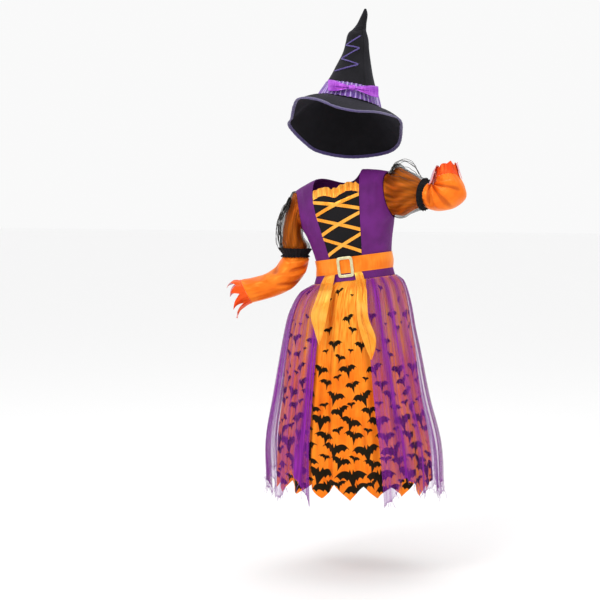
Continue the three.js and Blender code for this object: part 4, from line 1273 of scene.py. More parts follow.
BACK_CREASES = Creases(
    (
        (0.1, 0.5, 0.6, 0.36, 7, 1.4),
        (0.15, 0.4, 0.7, 0.22, 7, -1.2),
        (0.3, 0.85, 0.5, 0.6, 9, 1.2),
        (0.85, 0.6, 0.8, 0.2, 8, 1.1),
        (0.2, 0.15, 0.8, 0.1, 6, 1.0),
    ),
    PANEL_SCALE,
)


def belt_at(distance: float) -> Surface:
    """A straight ring round the waist, a distance out from it, by angle and height."""
    ring = TORSO.rings.read(0)

    def surface(angle: Array, height: Array) -> Array:
        """The belt's place at an angle and a height."""
        across = (ring["half_width"] + distance) * np.sin(angle)
        return STANCE.place(across, -(ring["half_depth"] + distance) * np.cos(angle), height)

    return surface


def seen_at(right: Array, curve_at: Loop) -> Array:
    """The points of a curve round the front that are seen at places to the right."""
    sideways = STANCE.turned(1.0, 0.0, 0.0)
    low, high = np.full(right.shape, -1.4), np.full(right.shape, 1.4)
    for _ in range(26):
        angle = (low + high) / 2
        short = curve_at(angle) @ sideways < right
        low, high = np.where(short, angle, low), np.where(short, high, angle)
    return curve_at(low)


@dataclass(frozen=True)
class Skirts:
    """The printed underskirt and the open net over it, which hang in soft folds from the waist."""

    under: Table = Table(
        "half_width half_depth fold shift",
        (
            (38, 102, 83, 1.2, 0),
            (62, 126, 104, 3.5, -7),
            (105, 140, 119, 5, -9),
            (215, 157, 137, 6.5, -9),
            (330, 170, 150, 8, -7),
            (440, 185, 163, 9.5, -3),
            (590, 192, 170, 11, 2),
        ),
    )
    over: Table = Table(
        "half_width half_depth fold shift",
        (
            (38, 105.5, 86.5, 1, 0),
            (56, 130, 115, 3, -7),
            (105, 150, 135, 4.5, -10),
            (160, 162, 147, 5.5, -11),
            (215, 173, 156, 6, -10),
            (330, 194, 172, 7.5, -8),
            (440, 217, 188, 9, -3),
            (540, 220, 190, 10, 1),
            (620, 219, 189, 10, 2),
        ),
    )
    top: float = 38.9
    under_hem: tuple[float, float, int] = (545, 21, 17)
    net_hem: tuple[float, float, int, float] = (548, 24, 13, 26)
    turn: float = math.radians(8)
    opening: tuple[float, float, float] = (math.radians(21.5), math.radians(27.5), 32)
    close: tuple[float, float, float] = (4.5, 0.22, math.radians(65))
    under_folds: tuple[int, float] = (18, 0.6)
    net_folds: tuple[int, float] = (20, 2.1)
    core: tuple[float, float, float] = (37.0, 0.0, -489.0)

    def folds(self, angle: Array, kind: tuple[int, float], down: Array) -> Array:
        """Uneven folds round the skirt, from -1 to 1, by angle, count and seed, and distance down."""
        count, seed = kind
        wander = 1.1 * np.sin(2 * angle + seed) + 0.7 * np.sin(5 * angle + 2 * seed)
        drift = 0.5 * np.sin(down / 170 + 2 * angle + seed)
        return (0.78 + 0.22 * np.sin(3 * angle + 2.4 * seed)) * np.sin(count * angle + wander + drift)

    def hanging(self, rings: Table, angle: Array, down: Array, out: Array) -> Array:
        """A point at an angle round, a distance down, and a distance out from a ring."""
        row = rings.read(down)
        radius = np.hypot(row["half_width"] * np.cos(angle), row["half_depth"] * np.sin(angle))
        across = (row["half_width"] + out * row["half_depth"] / radius) * np.sin(angle) + row["shift"]
        depth = -(row["half_depth"] + out * row["half_width"] / radius) * np.cos(angle)
        return STANCE.place(across, depth, -down)

    def zigzag(self, angle: Array, points: int) -> Array:
        """Points along a hem, from -1 to 1."""
        phase = (angle * points / (2 * math.pi) + 100) % 1
        return 1 - 4 * np.abs(phase - 0.5)

    def under_down(self, angle: Array, share: Array) -> Array:
        """How far down a share of the underskirt is."""
        hem, point, points = self.under_hem
        tips = point * (0.8 + 0.2 * np.sin(5 * angle + 1)) * self.zigzag(angle, points)
        return mix(self.top, hem + tips, share)

    def underskirt(self, angle: Array, share: Array) -> Array:
        """The underskirt's surface."""
        angle, share = np.broadcast_arrays(angle, share)
        down = self.under_down(angle, share)
        fold = self.under.read(down)["fold"]
        return self.hanging(self.under, angle, down, fold * self.folds(angle, self.under_folds, down))

    def net(self, angle: Array, share: Array) -> Array:
        """The net's surface, which lies near the underskirt by its opening and stands off elsewhere."""
        angle, share = np.broadcast_arrays(angle, share)
        aside = angle - self.turn
        from_front = np.abs(np.arctan2(np.sin(aside), np.cos(aside)))
        beyond = np.maximum(0, from_front - self.opening[0])
        stands = mix(self.close[1], 1, smooth(beyond / self.close[2]))
        hem, point, points, long = self.net_hem
        tips = (
            point * self.zigzag(angle + 0.1, points)
            + long * np.sin(3.5 * angle + 0.9) * np.sin(8 * angle)
        )
        torn = 3.2 * self.zigzag(angle + 0.4, 71) + 2.0 * self.zigzag(angle * 1.37, 160) - 4
        corner = self.opening[2] * np.exp(-beyond * 9)
        down = mix(self.top, hem + tips + corner, share) + torn * smooth((share - 0.93) / 0.07)
        blend = (stands - 0.2) / 0.8
        wave = mix(self.folds(angle, self.under_folds, down), self.folds(angle, self.net_folds, down), blend)
        outside = self.hanging(self.over, angle, down, self.over.read(down)["fold"] * wave)
        gap = self.close[0] * smooth((down - self.top) / 20) + 3
        inside = self.hanging(self.under, angle, down, self.under.read(down)["fold"] * wave + gap)
        return inside + (outside - inside) * stands[..., None]

    def over_skirt(self, angle: Array, down: Array, lift: Array) -> Array:
        """The outermost place that the skirts' layers reach."""
        low = np.maximum(down, self.top)
        free = smooth((down - 30) / 30)
        layers = free * (self.under.read(low)["fold"] + self.close[0] + 3 + 6 * smooth(down / 120) + 1)
        out = layers + (1 - smooth((down - 24) / 30)) * 3.6 + lift + 2
        point = self.hanging(self.under, angle, low, out)
        half = self.under.read(down)["half_width"]
        point[..., 2] = STANCE.place(half * np.sin(angle), 0.0, -down)[..., 2]
        return point

    def build(self) -> None:
        """Makes both halves of both skirts, and the net's loose threads."""
        shares = np.concatenate([np.linspace(0, 0.14, 16), np.linspace(0.14, 1, 57)[1:]])
        seam = SEAM_GAP / 2 / 110
        for name, start in (("front", -HALF_PI), ("back", HALF_PI)):
            angles = np.linspace(start + seam, start + math.pi - seam, 231)
            Cloth(
                f"underskirt_{name}", Look.PRINTED, self.underskirt, np.array(self.core), angles, shares,
                relief=self.under_relief, flat=self.printed_place, held="gathered", rests_on=("waistband",),
            ).build()
        for name, side in SIDES.items():
            self.net_half(name, side, shares)

    def under_relief(self, angle: Array, share: Array) -> Array:
        """Gathers at the waist, which die out, and long soft creases between the folds."""
        gathers = np.sin(angle * 62 + 1.3 * np.sin(angle * 7)) * 1.1 + np.sin(angle * 97 + 2) * 0.5
        near = smooth(share / 0.03) * np.exp(-share / 0.13)
        long = (
            np.sin(angle * 41 + 2 * np.sin(angle * 3 + share * 2))
            * (0.5 + 0.5 * np.sin(angle * 9 + share * 5))
        )
        ripple = np.sin(share * 17 + angle * 11) * np.sin(angle * 23 + share * 6)
        return (
            gathers * near + 1.5 * long * smooth((share - 0.06) / 0.3)
            + 0.7 * ripple * smooth(share / 0.3)
        )

    def printed_place(self, angle: Array, share: Array, skin: Array) -> tuple[Array, Array]:
        """The print's own place: across at the hem, and up from it, in metres."""
        half = (self.under.read(590)["half_width"] + self.under.read(590)["half_depth"]) / 2
        up = self.under_hem[0] + self.under_hem[1] - self.under_down(angle, share)
        return angle * (half * 1.12 * MM), up * MM

    def net_half(self, name: str, side: int, shares: Array) -> None:
        """One half of the net, from its front edge to the seam at the back."""

        def angle_of(turn: Array, share: Array) -> Array:
            """The angle about the waist, from the front edge to the centre back."""
            edge = side * mix(self.opening[0], self.opening[1], share) + self.turn
            return mix(edge, self.turn + side * (math.pi - SEAM_GAP / 220), turn)

        def surface(turn: Array, share: Array) -> Array:
            """The net's place."""
            return self.net(angle_of(turn, share), share)

        def relief(turn: Array, share: Array) -> Array:
            """Gathers at the waist, and the long folds below."""
            angle = angle_of(turn, share)
            gathers = (
                np.sin(angle * 71 + np.sin(angle * 9)) * 1.2
                * np.exp(-share / 0.16) * smooth(share / 0.03)
            )
            fine = (
                np.sin(angle * 53 + 2.2 * np.sin(angle * 4 + share))
                * (0.5 + 0.5 * np.sin(angle * 11 + share * 3))
            )
            return gathers + 1.6 * fine * smooth(share / 0.35)

        def cover(turn: Array, share: Array) -> Array:
            """How much the net covers, more at its front edge."""
            angle = angle_of(turn, share)
            edge = (0.5 if side < 0 else 0.25) * np.exp(-((turn / (0.02 + 0.06 * share)) ** 2))
            return self.cover(angle, share) + edge + 0.16 * smooth((share - 0.985) / 0.012)

        Cloth(
            f"net_{name}", Look.NET, surface, np.array(self.core), np.linspace(0, 1, 231) ** 1.06, shares,
            thick=0.7, relief=relief, cover=cover, held="gathered", rests_on=("waistband",),
        ).build()
        rng = np.random.default_rng(31 + side)
        turns = rng.uniform(0.01, 0.99, 120)
        hem = lifted(surface, np.array(self.core), relief)(turns, np.full(120, 0.992))
        ways = np.stack([rng.normal(0, 0.3, 120), rng.normal(0, 0.3, 120), np.full(120, -1.0)], axis=-1)
        GROWTH.fringe(f"net_threads_{name}", hem, ways, Look.NET_THREAD, 24.0)

    def cover(self, angle: Array, share: Array) -> Array:
        """How much the net hides: more where it is gathered and where a fold turns away."""
        step = 0.01
        down = mix(self.top, self.net_hem[0], share)
        slope = (
            self.folds(angle + step, self.net_folds, down) - self.folds(angle - step, self.net_folds, down)
        ) / (2 * step * self.net_folds[0])
        streaks = np.zeros(np.broadcast(angle, share).shape)
        for i in range(16):
            count = 17 + i * 9.3
            lean = 0.9 * math.sin(i * 2.7)
            streaks += np.sin(count * (angle + lean * 0.09 * share) + i * 1.9) / 4
        streaks = np.clip(streaks, -1, 1.6)
        gathered = 0.18 * np.exp(-share / 0.1)
        for start, end, width, strength in NET_STREAKS:
            centre = mix(start, end, share ** 0.8)
            streaks += strength * bump(np.arctan2(np.sin(angle - centre), np.cos(angle - centre)), 0, width)
        return np.clip(0.24 + 0.1 * np.abs(slope) + 0.14 * streaks + gathered - 0.03 * share, 0.1, 0.9)


NET_STREAKS = (
    (0.66, 0.95, 0.06, 4.2),
    (0.92, 1.22, 0.05, 3.6),
    (1.25, 1.42, 0.07, 3.0),
    (0.55, 0.60, 0.025, 1.6),
    (-0.32, -0.50, 0.05, 3.6),
    (-0.62, -0.80, 0.05, 2.2),
    (-0.98, -1.20, 0.08, 3.6),
    (1.75, 1.80, 0.06, 2.5),
    (2.25, 2.40, 0.08, 3.2),
    (2.85, 2.95, 0.06, 2.6),
    (-1.60, -1.70, 0.07, 2.4),
    (-2.10, -2.25, 0.06, 3.2),
    (-2.70, -2.80, 0.08, 2.6),
)
SKIRTS = Skirts()


@dataclass(frozen=True)
class Belt:
    """The satin belt with its buckle, and the two pointed ends that hang from it."""

    half_height: float = 19.5
    offset: float = 3.2
    thick: float = 1.3
    buckle: tuple[float, float, float, float] = (41, 51, 7.2, 3.0)
    buckle_thick: float = 2.6
    buckle_drop: float = 4
    tails: tuple[tuple[str, Table], ...] = (
        (
            "right",
            Table(
                "start end lift",
                (
                    (250, -31.6, -13.3, 2),
                    (269, -45.1, -18.4, 2.5),
                    (311, -62.3, -28.4, 3),
                    (349, -74.4, -35.8, 3),
                    (387, -64.8, -44.3, 3),
                    (418, -56, -53.1, 3),
                ),
            ),
        ),
        (
            "left",
            Table(
                "start end lift",
                (
                    (249, 29.1, 47.3, 2),
                    (280, 37.2, 59, 2.5),
                    (316, 35.6, 61, 3),
                    (354, 36.5, 64.3, 3),
                    (394, 46, 79.7, 3),
                    (420, 55.5, 80.8, 3),
                    (451, 68.4, 71.8, 3),
                ),
            ),
        ),
    )

    def build(self) -> None:
        """Makes the belt, its buckle and its hanging ends."""
        self.band()
        self.frame()
        for name, rows in self.tails:
            self.tail(name, rows)

    def band(self) -> None:
        """The belt itself, drawn into two upright folds behind its buckle."""
        front = belt_at(self.offset)

        def relief(angle: Array, height: Array) -> Array:
            """Gathers about the buckle, and the creases beside them."""
            aside = np.sin(angle) * 97
            behind = bump(aside, 0, 15) * (np.cos(angle) > 0)
            folds = 0.9 * np.cos(aside * 2 * math.pi / 13) * behind
            soft = 0.5 * np.sin(height / 7 + 3 * np.sin(angle * 2)) * np.sin(angle * 9 + 1)
            drawn = (
                0.55 * np.sin(height / 4.1 + angle * 6)
                * bump(np.abs(aside), 27, 12) * (np.cos(angle) > 0)
            )
            edge = -0.5 * bump(self.half_height - np.abs(height), 3.2, 0.9)
            return self.thick + folds + soft + drawn + edge - 0.4 * (1 - behind)

        Cloth(
            "belt", Look.BELT, front, TORSO.core(0), turns_of(240),
            np.linspace(-self.half_height, self.half_height, 29), thick=1.0, closed=True, relief=relief,
            held="stretched", rests_on=("waistband",),
        ).build()

    def frame(self) -> None:
        """The buckle's flat frame, with rounded corners and softened edges."""
        width, height, bar, corner = self.buckle
        lean = STANCE.lean_at_waist
        middle = TORSO.surface(np.array(0.0), np.array(0.0)) - np.array([0, self.offset + self.thick, 0])
        middle = middle - np.array([0, SEAM_GAP, self.buckle_drop])
        turns = turns_of(96)
        half = self.buckle_thick / 2
        section = [(math.cos(a), math.sin(a)) for a in turns_of(16)]
        points, faces, places = [], [], []
        for i, turn in enumerate(turns):
            outer = rounded(turn, width / 2, height / 2, corner)
            inner = rounded(turn, width / 2 - bar, height / 2 - bar, 1.4)
            for k, (c, s) in enumerate(section):
                flat_c = math.copysign(abs(c) ** 0.45, c)
                flat_s = math.copysign(abs(s) ** 0.6, s)
                x, z = mix(inner, outer, (1 + flat_c) / 2)
                out = half + half * flat_s
                across = x * math.cos(lean) - z * math.sin(lean)
                up = x * math.sin(lean) + z * math.cos(lean)
                points.append((middle + np.array([across, -out, up])) * MM)
                a, b = i * 16, ((i + 1) % 96) * 16
                faces.append((a + k, a + (k + 1) % 16, b + (k + 1) % 16, b + k))
                places.extend([(i * 0.002, k * 0.001), (i * 0.002, (k + 1) * 0.001)])
                places.extend([((i + 1) * 0.002, (k + 1) * 0.001), ((i + 1) * 0.002, k * 0.001)])
        points, faces = np.array(points), np.array(faces)
        mesh = bpy.data.meshes.new("buckle_frame")
        mesh.from_pydata(points.tolist(), [], faces.tolist())
        made = finish_mesh(mesh, np.array(places), facing_out(points, faces))
        mesh.materials.append(Look.METAL.value.make())
        place(made, Look.METAL, "buckle")
        LOG.info("buckle_frame: %d faces", len(mesh.polygons))

    def tail(self, name: str, rows: Table) -> None:
        """One hanging end, from under the belt's lower edge down over the skirts."""
        under_belt = belt_at(self.offset + self.thick)
        first, second, last = rows.rows[0][0], rows.rows[1][0], rows.rows[-1][0]
        waist = STANCE.waist[2]

        def surface(share: Array, drop: Array) -> Array:
            """The tail's place, by the share across and the drop."""
            share, drop = np.broadcast_arrays(np.asarray(share, float), np.asarray(drop, float))
            row = rows.read(drop)
            right = mix(row["start"], row["end"], share)
            top = seen_at(
                right, lambda angle: under_belt(angle, np.full(right.shape, -self.half_height - SEAM_GAP))
            )
            curl = 2 * np.sin(share * math.pi * 2)

            def below_at(angle: Array) -> Array:
                """The skirt's place below the belt at an angle."""
                leaning = 1 - smooth((waist + drop) / 160)
                down = waist + drop + np.sin(angle) * 150 * math.sin(STANCE.lean_at_waist) * leaning
                return SKIRTS.over_skirt(angle, down, row["lift"] + curl)

            below = seen_at(right, below_at)
            return top + (below - top) * smooth((drop - first) / (second - first))[..., None]

        creases = TAIL_CREASES[name]

        def relief(share: Array, drop: Array) -> Array:
            """The tail's creases."""
            fine = 0.5 * np.sin(share * 17 + drop / 26) * np.sin(drop / 31 + 1)
            return 0.6 + (creases.height(share, drop) + fine) * smooth((drop - first) / 30)

        Cloth(
            f"tail_{name}", Look.GOLD, surface, np.array(SKIRTS.core), np.linspace(0, 1, 31),
            np.linspace(first, last, 101), relief=relief, held="hung", rests_on=("belt",),
        ).build()


def rounded(turn: float, half_width: float, half_height: float, corner: float) -> Array:
    """A point on a rounded rectangle, evenly enough by angle."""
    c, s = math.cos(turn), math.sin(turn)
    power = 10 if corner < 3 else 7
    size = (abs(c) ** power + abs(s) ** power) ** (-1 / power)
    return np.array([half_width * c * size, half_height * s * size])


TAIL_SCALE = (34, 1)
TAIL_CREASES = {
    "right": Creases(
        (
            (0.5, 255, 0.25, 330, 3.2, 2.2),
            (0.7, 258, 0.55, 372, 3.0, 1.8),
            (0.35, 262, 0.1, 340, 2.6, -1.4),
            (0.6, 300, 0.4, 400, 2.8, -1.6),
            (0.85, 290, 0.8, 385, 3.0, 1.2),
        ),
        TAIL_SCALE,
    ),
    "left": Creases(
        (
            (0.4, 252, 0.55, 345, 3.0, 2.0),
            (0.65, 255, 0.3, 400, 3.4, -1.6),
            (0.8, 262, 0.75, 430, 3.2, 2.0),
            (0.2, 280, 0.15, 380, 2.8, 1.6),
            (0.5, 330, 0.6, 440, 3.0, -1.2),
        ),
        TAIL_SCALE,
    ),
}


@dataclass(frozen=True)
class Rings:
    """Rings of a sleeve or the hat, each from two points of its outline in the turned frame.

    Args:
        rows: Right and up of both points, the middle's place forward, half the depth,
            and the tip in degrees.
    """

    rows: tuple[tuple[float, ...], ...]

    def ring(self, i: int) -> Loop:
        """One ring as a loop."""
        out_right, out_up, in_right, in_up, forward, half_depth, tip = self.rows[i]
        half = (out_right - in_right) / 2, (out_up - in_up) / 2
        length = math.hypot(*half)
        along = half[1] / length, -half[0] / length
        c, s = math.cos(math.radians(tip)), math.sin(math.radians(tip))

        def loop(turn: Array) -> Array:
            """The ring's place at a turn."""
            a, b = np.cos(turn), np.sin(turn) * half_depth
            right = (out_right + in_right) / 2 + half[0] * a + along[0] * b * s
            up = (out_up + in_up) / 2 + half[1] * a + along[1] * b * s
            return STANCE.turned(right, up, forward + b * c)

        return loop

    def loops(self) -> list[Loop]:
        """Every ring as a loop."""
        return [self.ring(i) for i in range(len(self.rows))]


@dataclass(frozen=True)
class Sleeve:
    """One sleeve: sheer over satin down to a gathered elbow band, then satin to a pointed cuff.

    Args:
        name: right or left.
        sheer: The sheer sleeve's rings.
        satin: The satin sleeve's rings below the elbow.
        cuff: The cuff's rings.
        creases: The satin's creases below the elbow.
        points: The cuff's points in turn: the length in rings, 1 if folded back, and how far it stands off.
        rim: The ring that the cuff folds back at.
    """

    name: str
    sheer: Rings
    satin: Rings
    cuff: Rings
    creases: Creases
    points: tuple[tuple[float, float, float], ...]
    rim: float = 1.0
    leaves: float = 4
    puff: float = 1.5
    stands_in: float = 4
    stations: tuple[float, ...] = (-1, 0, 0.5, 1.2, 2.2, 3.2, 4.1, 5)
    frill_waves: int = 26

    @property
    def side(self) -> int:
        """-1 on the right and 1 on the left."""
        return SIDES[self.name]

    def upper(self) -> Surface:
        """The sheer sleeve's surface, which leaves its armhole sideways and then follows its rings."""
        edge = TORSO.armhole(self.side)
        leaving = drawn_in(
            lambda turn: edge(turn) + np.array([self.side * self.leaves, 0, 0]), 1 - self.puff
        )
        body, first = loft([leaving, *self.sheer.loops()]), drawn_in(edge, 1)

        def surface(turn: Array, along: Array) -> Array:
            """The upper sleeve's place, from the armhole on."""
            turn, along = np.broadcast_arrays(np.asarray(turn, float), np.asarray(along, float))
            start = first(turn) + (leaving(turn) - first(turn)) * (along + 1)[..., None]
            return np.where((along < 0)[..., None], start, body(turn, np.maximum(along, 0)))

        return surface

    def lower(self) -> Surface:
        """The satin sleeve's surface: inside the sheer one to the elbow, and then on its own rings."""
        sheer = self.upper()

        def under(station: float) -> Loop:
            """The sheer sleeve's ring at a station, drawn in to lie under it."""
            depth = 1 + 1.8 + self.stands_in * float(smooth((station + 1) / 2))
            return drawn_in(lambda turn: sheer(turn, np.full(np.shape(turn), station)), depth)

        upper = [under(station) for station in self.stations[:-1]]
        gathered = drawn_in(self.sheer.ring(len(self.sheer.rows) - 1), 2.6)
        return loft([*upper, gathered, *self.satin.loops()])

    def build(self) -> None:
        """Makes the sleeve's pieces."""
        self.sheer_cloth()
        self.satin_cloth()
        self.elbow_band()
        self.cuff_cloth()
        self.gauze()

    def sheer_cloth(self) -> None:
        """The sheer sleeve, gathered at the armhole and at the elbow."""
        surface = self.upper()

        def gathers(turn: Array, along: Array) -> Array:
            """Gathers at both ends of the sheer sleeve."""
            lines = np.sin(turn * 27 + 1.4 * np.sin(turn * 3)) + 0.5 * np.sin(turn * 43 + 1)
            ends = np.exp(-((along + 0.2) / 1.3) ** 2) + np.exp(-((5 - along) / 0.9) ** 2)
            return lines * ends

        def relief(turn: Array, along: Array) -> Array:
            """The sheer sleeve's gathers and billows."""
            loose = smooth((along + 1) / 0.5)
            billow = (
                1.3 * np.sin(turn * 7 + 1.5 * np.sin(along * 1.4))
                * smooth(along / 1.2) * smooth((5 - along))
            )
            return (0.9 * gathers(turn, along) + billow) * loose

        def cover(turn: Array, along: Array) -> Array:
            """How much the sheer cloth covers, more at its seams."""
            seams = 0.25 * np.exp(-(((5 - along) / 0.16) ** 2)) + 0.2 * np.exp(-(((along + 1) / 0.2) ** 2))
            lines = 0.1 * np.sin(turn * 11 + along * 2) + 0.06 * np.sin(turn * 29 + 2 * np.sin(along))
            return 0.42 + 0.14 * gathers(turn, along) + lines + seams

        Cloth(
            f"sheer_sleeve_{self.name}", Look.SHEER, surface, middles(surface), turns_of(180),
            np.linspace(-1, 5, 52), thick=0.5, closed=True, relief=relief, cover=cover, held="gathered",
            rests_on=(f"bodice_front_{self.name}",),
        ).build()

    def satin_cloth(self) -> None:
        """The satin sleeve, whose folds below the elbow are placed one by one."""
        surface = self.lower()
        elbow, wrist = 7.0, 14.0

        def relief(turn: Array, along: Array) -> Array:
            """The satin sleeve's gathers and creases."""
            below = smooth((along - elbow) / 0.8) * smooth((wrist - along) / 0.5)
            ends = np.exp(-((along - elbow - 0.6) / 0.9) ** 2) + 0.8 * np.exp(-((wrist - along) / 0.8) ** 2)
            gathers = 1.0 * np.sin(turn * 15 + 1.2 * np.sin(turn * 4)) * ends
            inner = self.creases.height(turn, along)
            soft = 0.5 * np.sin(turn * 5 + along * 1.7) * np.sin(along * 2.1 + 1)
            above = 0.5 * np.sin(turn * 9 + along) * smooth((elbow - along) / 2)
            return (gathers + 1.9 * inner + soft) * below + above

        Cloth(
            f"satin_sleeve_{self.name}", Look.ORANGE, surface, middles(surface), turns_of(150),
            np.concatenate([np.linspace(0, elbow, 24), np.linspace(elbow, wrist, 84)[1:]]), closed=True,
            relief=relief, held="gathered", rests_on=(f"bodice_front_{self.name}",),
        ).build()

    def elbow_band(self) -> None:
        """The black elastic band, which gathers the sleeve into a frill above and below it."""
        loops = [*self.sheer.loops()[-2:], *self.satin.loops()[:2]]
        surface = loft([drawn_in(loop, -0.4) for loop in loops])

        def relief(turn: Array, along: Array) -> Array:
            """The band's frill."""
            frill = np.abs(along - 1.2) / 1.15
            wave = np.cos(turn * self.frill_waves + 0.8 * np.sin(turn * 5))
            fine = 0.4 * np.cos(turn * self.frill_waves * 1.7 + along * 2)
            rows = 0.3 * np.cos(along * 17) * (1 - np.clip(frill, 0, 1))
            return 2.2 * frill + (0.35 + 1.1 * frill) * (wave + fine) + 1.9 + rows

        Cloth(
            f"elbow_band_{self.name}", Look.BLACK, surface, middles(surface), turns_of(300),
            np.linspace(0.05, 2.35, 23), thick=0.8, closed=True, relief=relief, held="gathered",
            rests_on=(f"satin_sleeve_{self.name}",),
        ).build()

    def cuff_cloth(self) -> None:
        """The cuff, cut in points, whose pale reverse shows where a point turns over."""
        rings = loft(self.cuff.loops())
        centre = middles(rings)

        def point(turn: Array, share: Array) -> tuple[Array, Array, Array, Array]:
            """A point's place along, how far past the rim, whether folded back, and its stand-off."""
            turn, share = np.broadcast_arrays(np.asarray(turn, float), np.asarray(share, float))
            phase = turn * len(self.points) / (2 * math.pi) + 100 * len(self.points)
            length, fold, out = np.array(self.points)[np.floor(phase).astype(int) % len(self.points)].T
            rise = 1 - np.abs(2 * (phase % 1) - 1)
            reach = self.rim - 0.25 + (0.25 + length.T) * rise
            return share * reach, share * reach - self.rim, fold.T, out.T

        def surface(turn: Array, share: Array) -> Array:
            """The cuff's place, with its points folded back."""
            along, past, fold, out = point(turn, share)
            past = (past + np.sqrt(past**2 + 0.004)) / 2
            place = rings(turn, np.maximum(along - 2 * fold * past, -0.4))
            way = unit(place - centre(turn, along * 0 + 1.0))
            return place + way * ((fold * 3.0 * smooth(past / 0.12)) + out * past)[..., None]

        def inside(turn: Array, share: Array) -> Array:
            """A place on the inner side of the cloth, also where it is folded back."""
            along, past, fold, _ = point(turn, share)
            base = centre(turn, along * 0)
            over = fold * smooth((past + 0.1) / 0.25)
            return base + (rings(turn, along * 0) - base) * (3.0 * over[..., None])

        def relief(turn: Array, share: Array) -> Array:
            """Soft waves, and the gathers of the seam."""
            wave = 0.9 * np.sin(turn * 13 + 1) + 0.6 * np.sin(turn * 5)
            seam = 0.9 + 0.4 * np.sin(turn * 24)
            return wave * smooth(share / 0.7) + seam * np.exp(-np.maximum(share, 0) / 0.15)

        def turned_over(turn: Array, share: Array) -> Array:
            """Whether the cloth is past the fold of a point that is folded back."""
            _, past, fold, _ = point(turn, share)
            return (past > 0.02) & (fold > 0)

        Cloth(
            f"cuff_{self.name}", Look.CUFF, surface, inside, turns_of(240), np.linspace(-0.05, 1, 40),
            thick=0.7,
            closed=True, relief=relief, reverse=Look.REVERSE, turned_over=turned_over, cut_row=CUFF_CUT_ROW,
            held="gathered",
            rests_on=(f"satin_sleeve_{self.name}",),
        ).build()

    def gauze(self) -> None:
        """The strip of torn gauze over the shoulder's seam, and the threads that fray from it."""
        surface = self.upper()
        inside = middles(surface)
        spread, lower, upper = 0.925, 0.5, 1.2

        def relief(turn: Array, share: Array) -> Array:
            """The strip's crumpled stand-off."""
            return 1.9 + 0.7 * np.sin(turn * 23 + share * 4) + 0.5 * np.sin(turn * 41)

        def strip(turn: Array, share: Array) -> Array:
            """The strip's place, up to its torn edge."""
            torn = 0.18 * np.sin(turn * 19) + 0.12 * np.sin(turn * 47 + 1)
            return surface(turn, mix(lower, upper + torn, share))

        def cover(turn: Array, share: Array) -> Array:
            """How much the gauze covers, less at its torn edge."""
            return 0.72 + 0.15 * np.sin(turn * 37 + share * 3) - 0.35 * smooth((share - 0.7) / 0.3)

        made = Cloth(
            f"gauze_{self.name}", Look.GAUZE, strip, inside, np.linspace(-spread, spread, 161),
            np.linspace(0, 1, 13), thick=0.5, relief=relief, cover=cover, held="laid",
            rests_on=(f"sheer_sleeve_{self.name}",),
        ).build()
        rng = np.random.default_rng(11 if self.side < 0 else 23)
        paths = []
        count = 22 if self.side < 0 else 11
        for i in range(count):
            share = i / (count - 1)
            turn = mix(-spread, spread, share) + rng.uniform(-0.03, 0.03)
            if self.side < 0:
                reach, lift = rng.uniform(1.6, 4.2), rng.uniform(3, 14)
            else:
                tall = 4 + 26 * math.exp(-(((share - 0.45) * 4) ** 2))
                reach, lift = rng.uniform(1.0, 3.0), tall * rng.uniform(0.35, 1)
            sway, phase = rng.uniform(-0.28, 0.28), rng.uniform(0, 6)
            t = np.linspace(0, 1, 26)
            along = np.minimum(upper - 0.3 + t * reach, 4.6)
            aside = turn + sway * t * np.sin(3.5 * t + phase)
            out = 2.0 + lift * np.sin(math.pi * t**0.8) + 0.8 * np.sin(t * 15 + phase)
            paths.append(surface(aside, along) + normals(surface, inside, aside, along) * out[:, None])
        threads = GROWTH.strands(f"gauze_threads_{self.name}", paths, Look.DARK_THREAD, radius=0.6)
        LOG.info("gauze_threads_%s: %d threads on %s", self.name, len(paths), made.name)


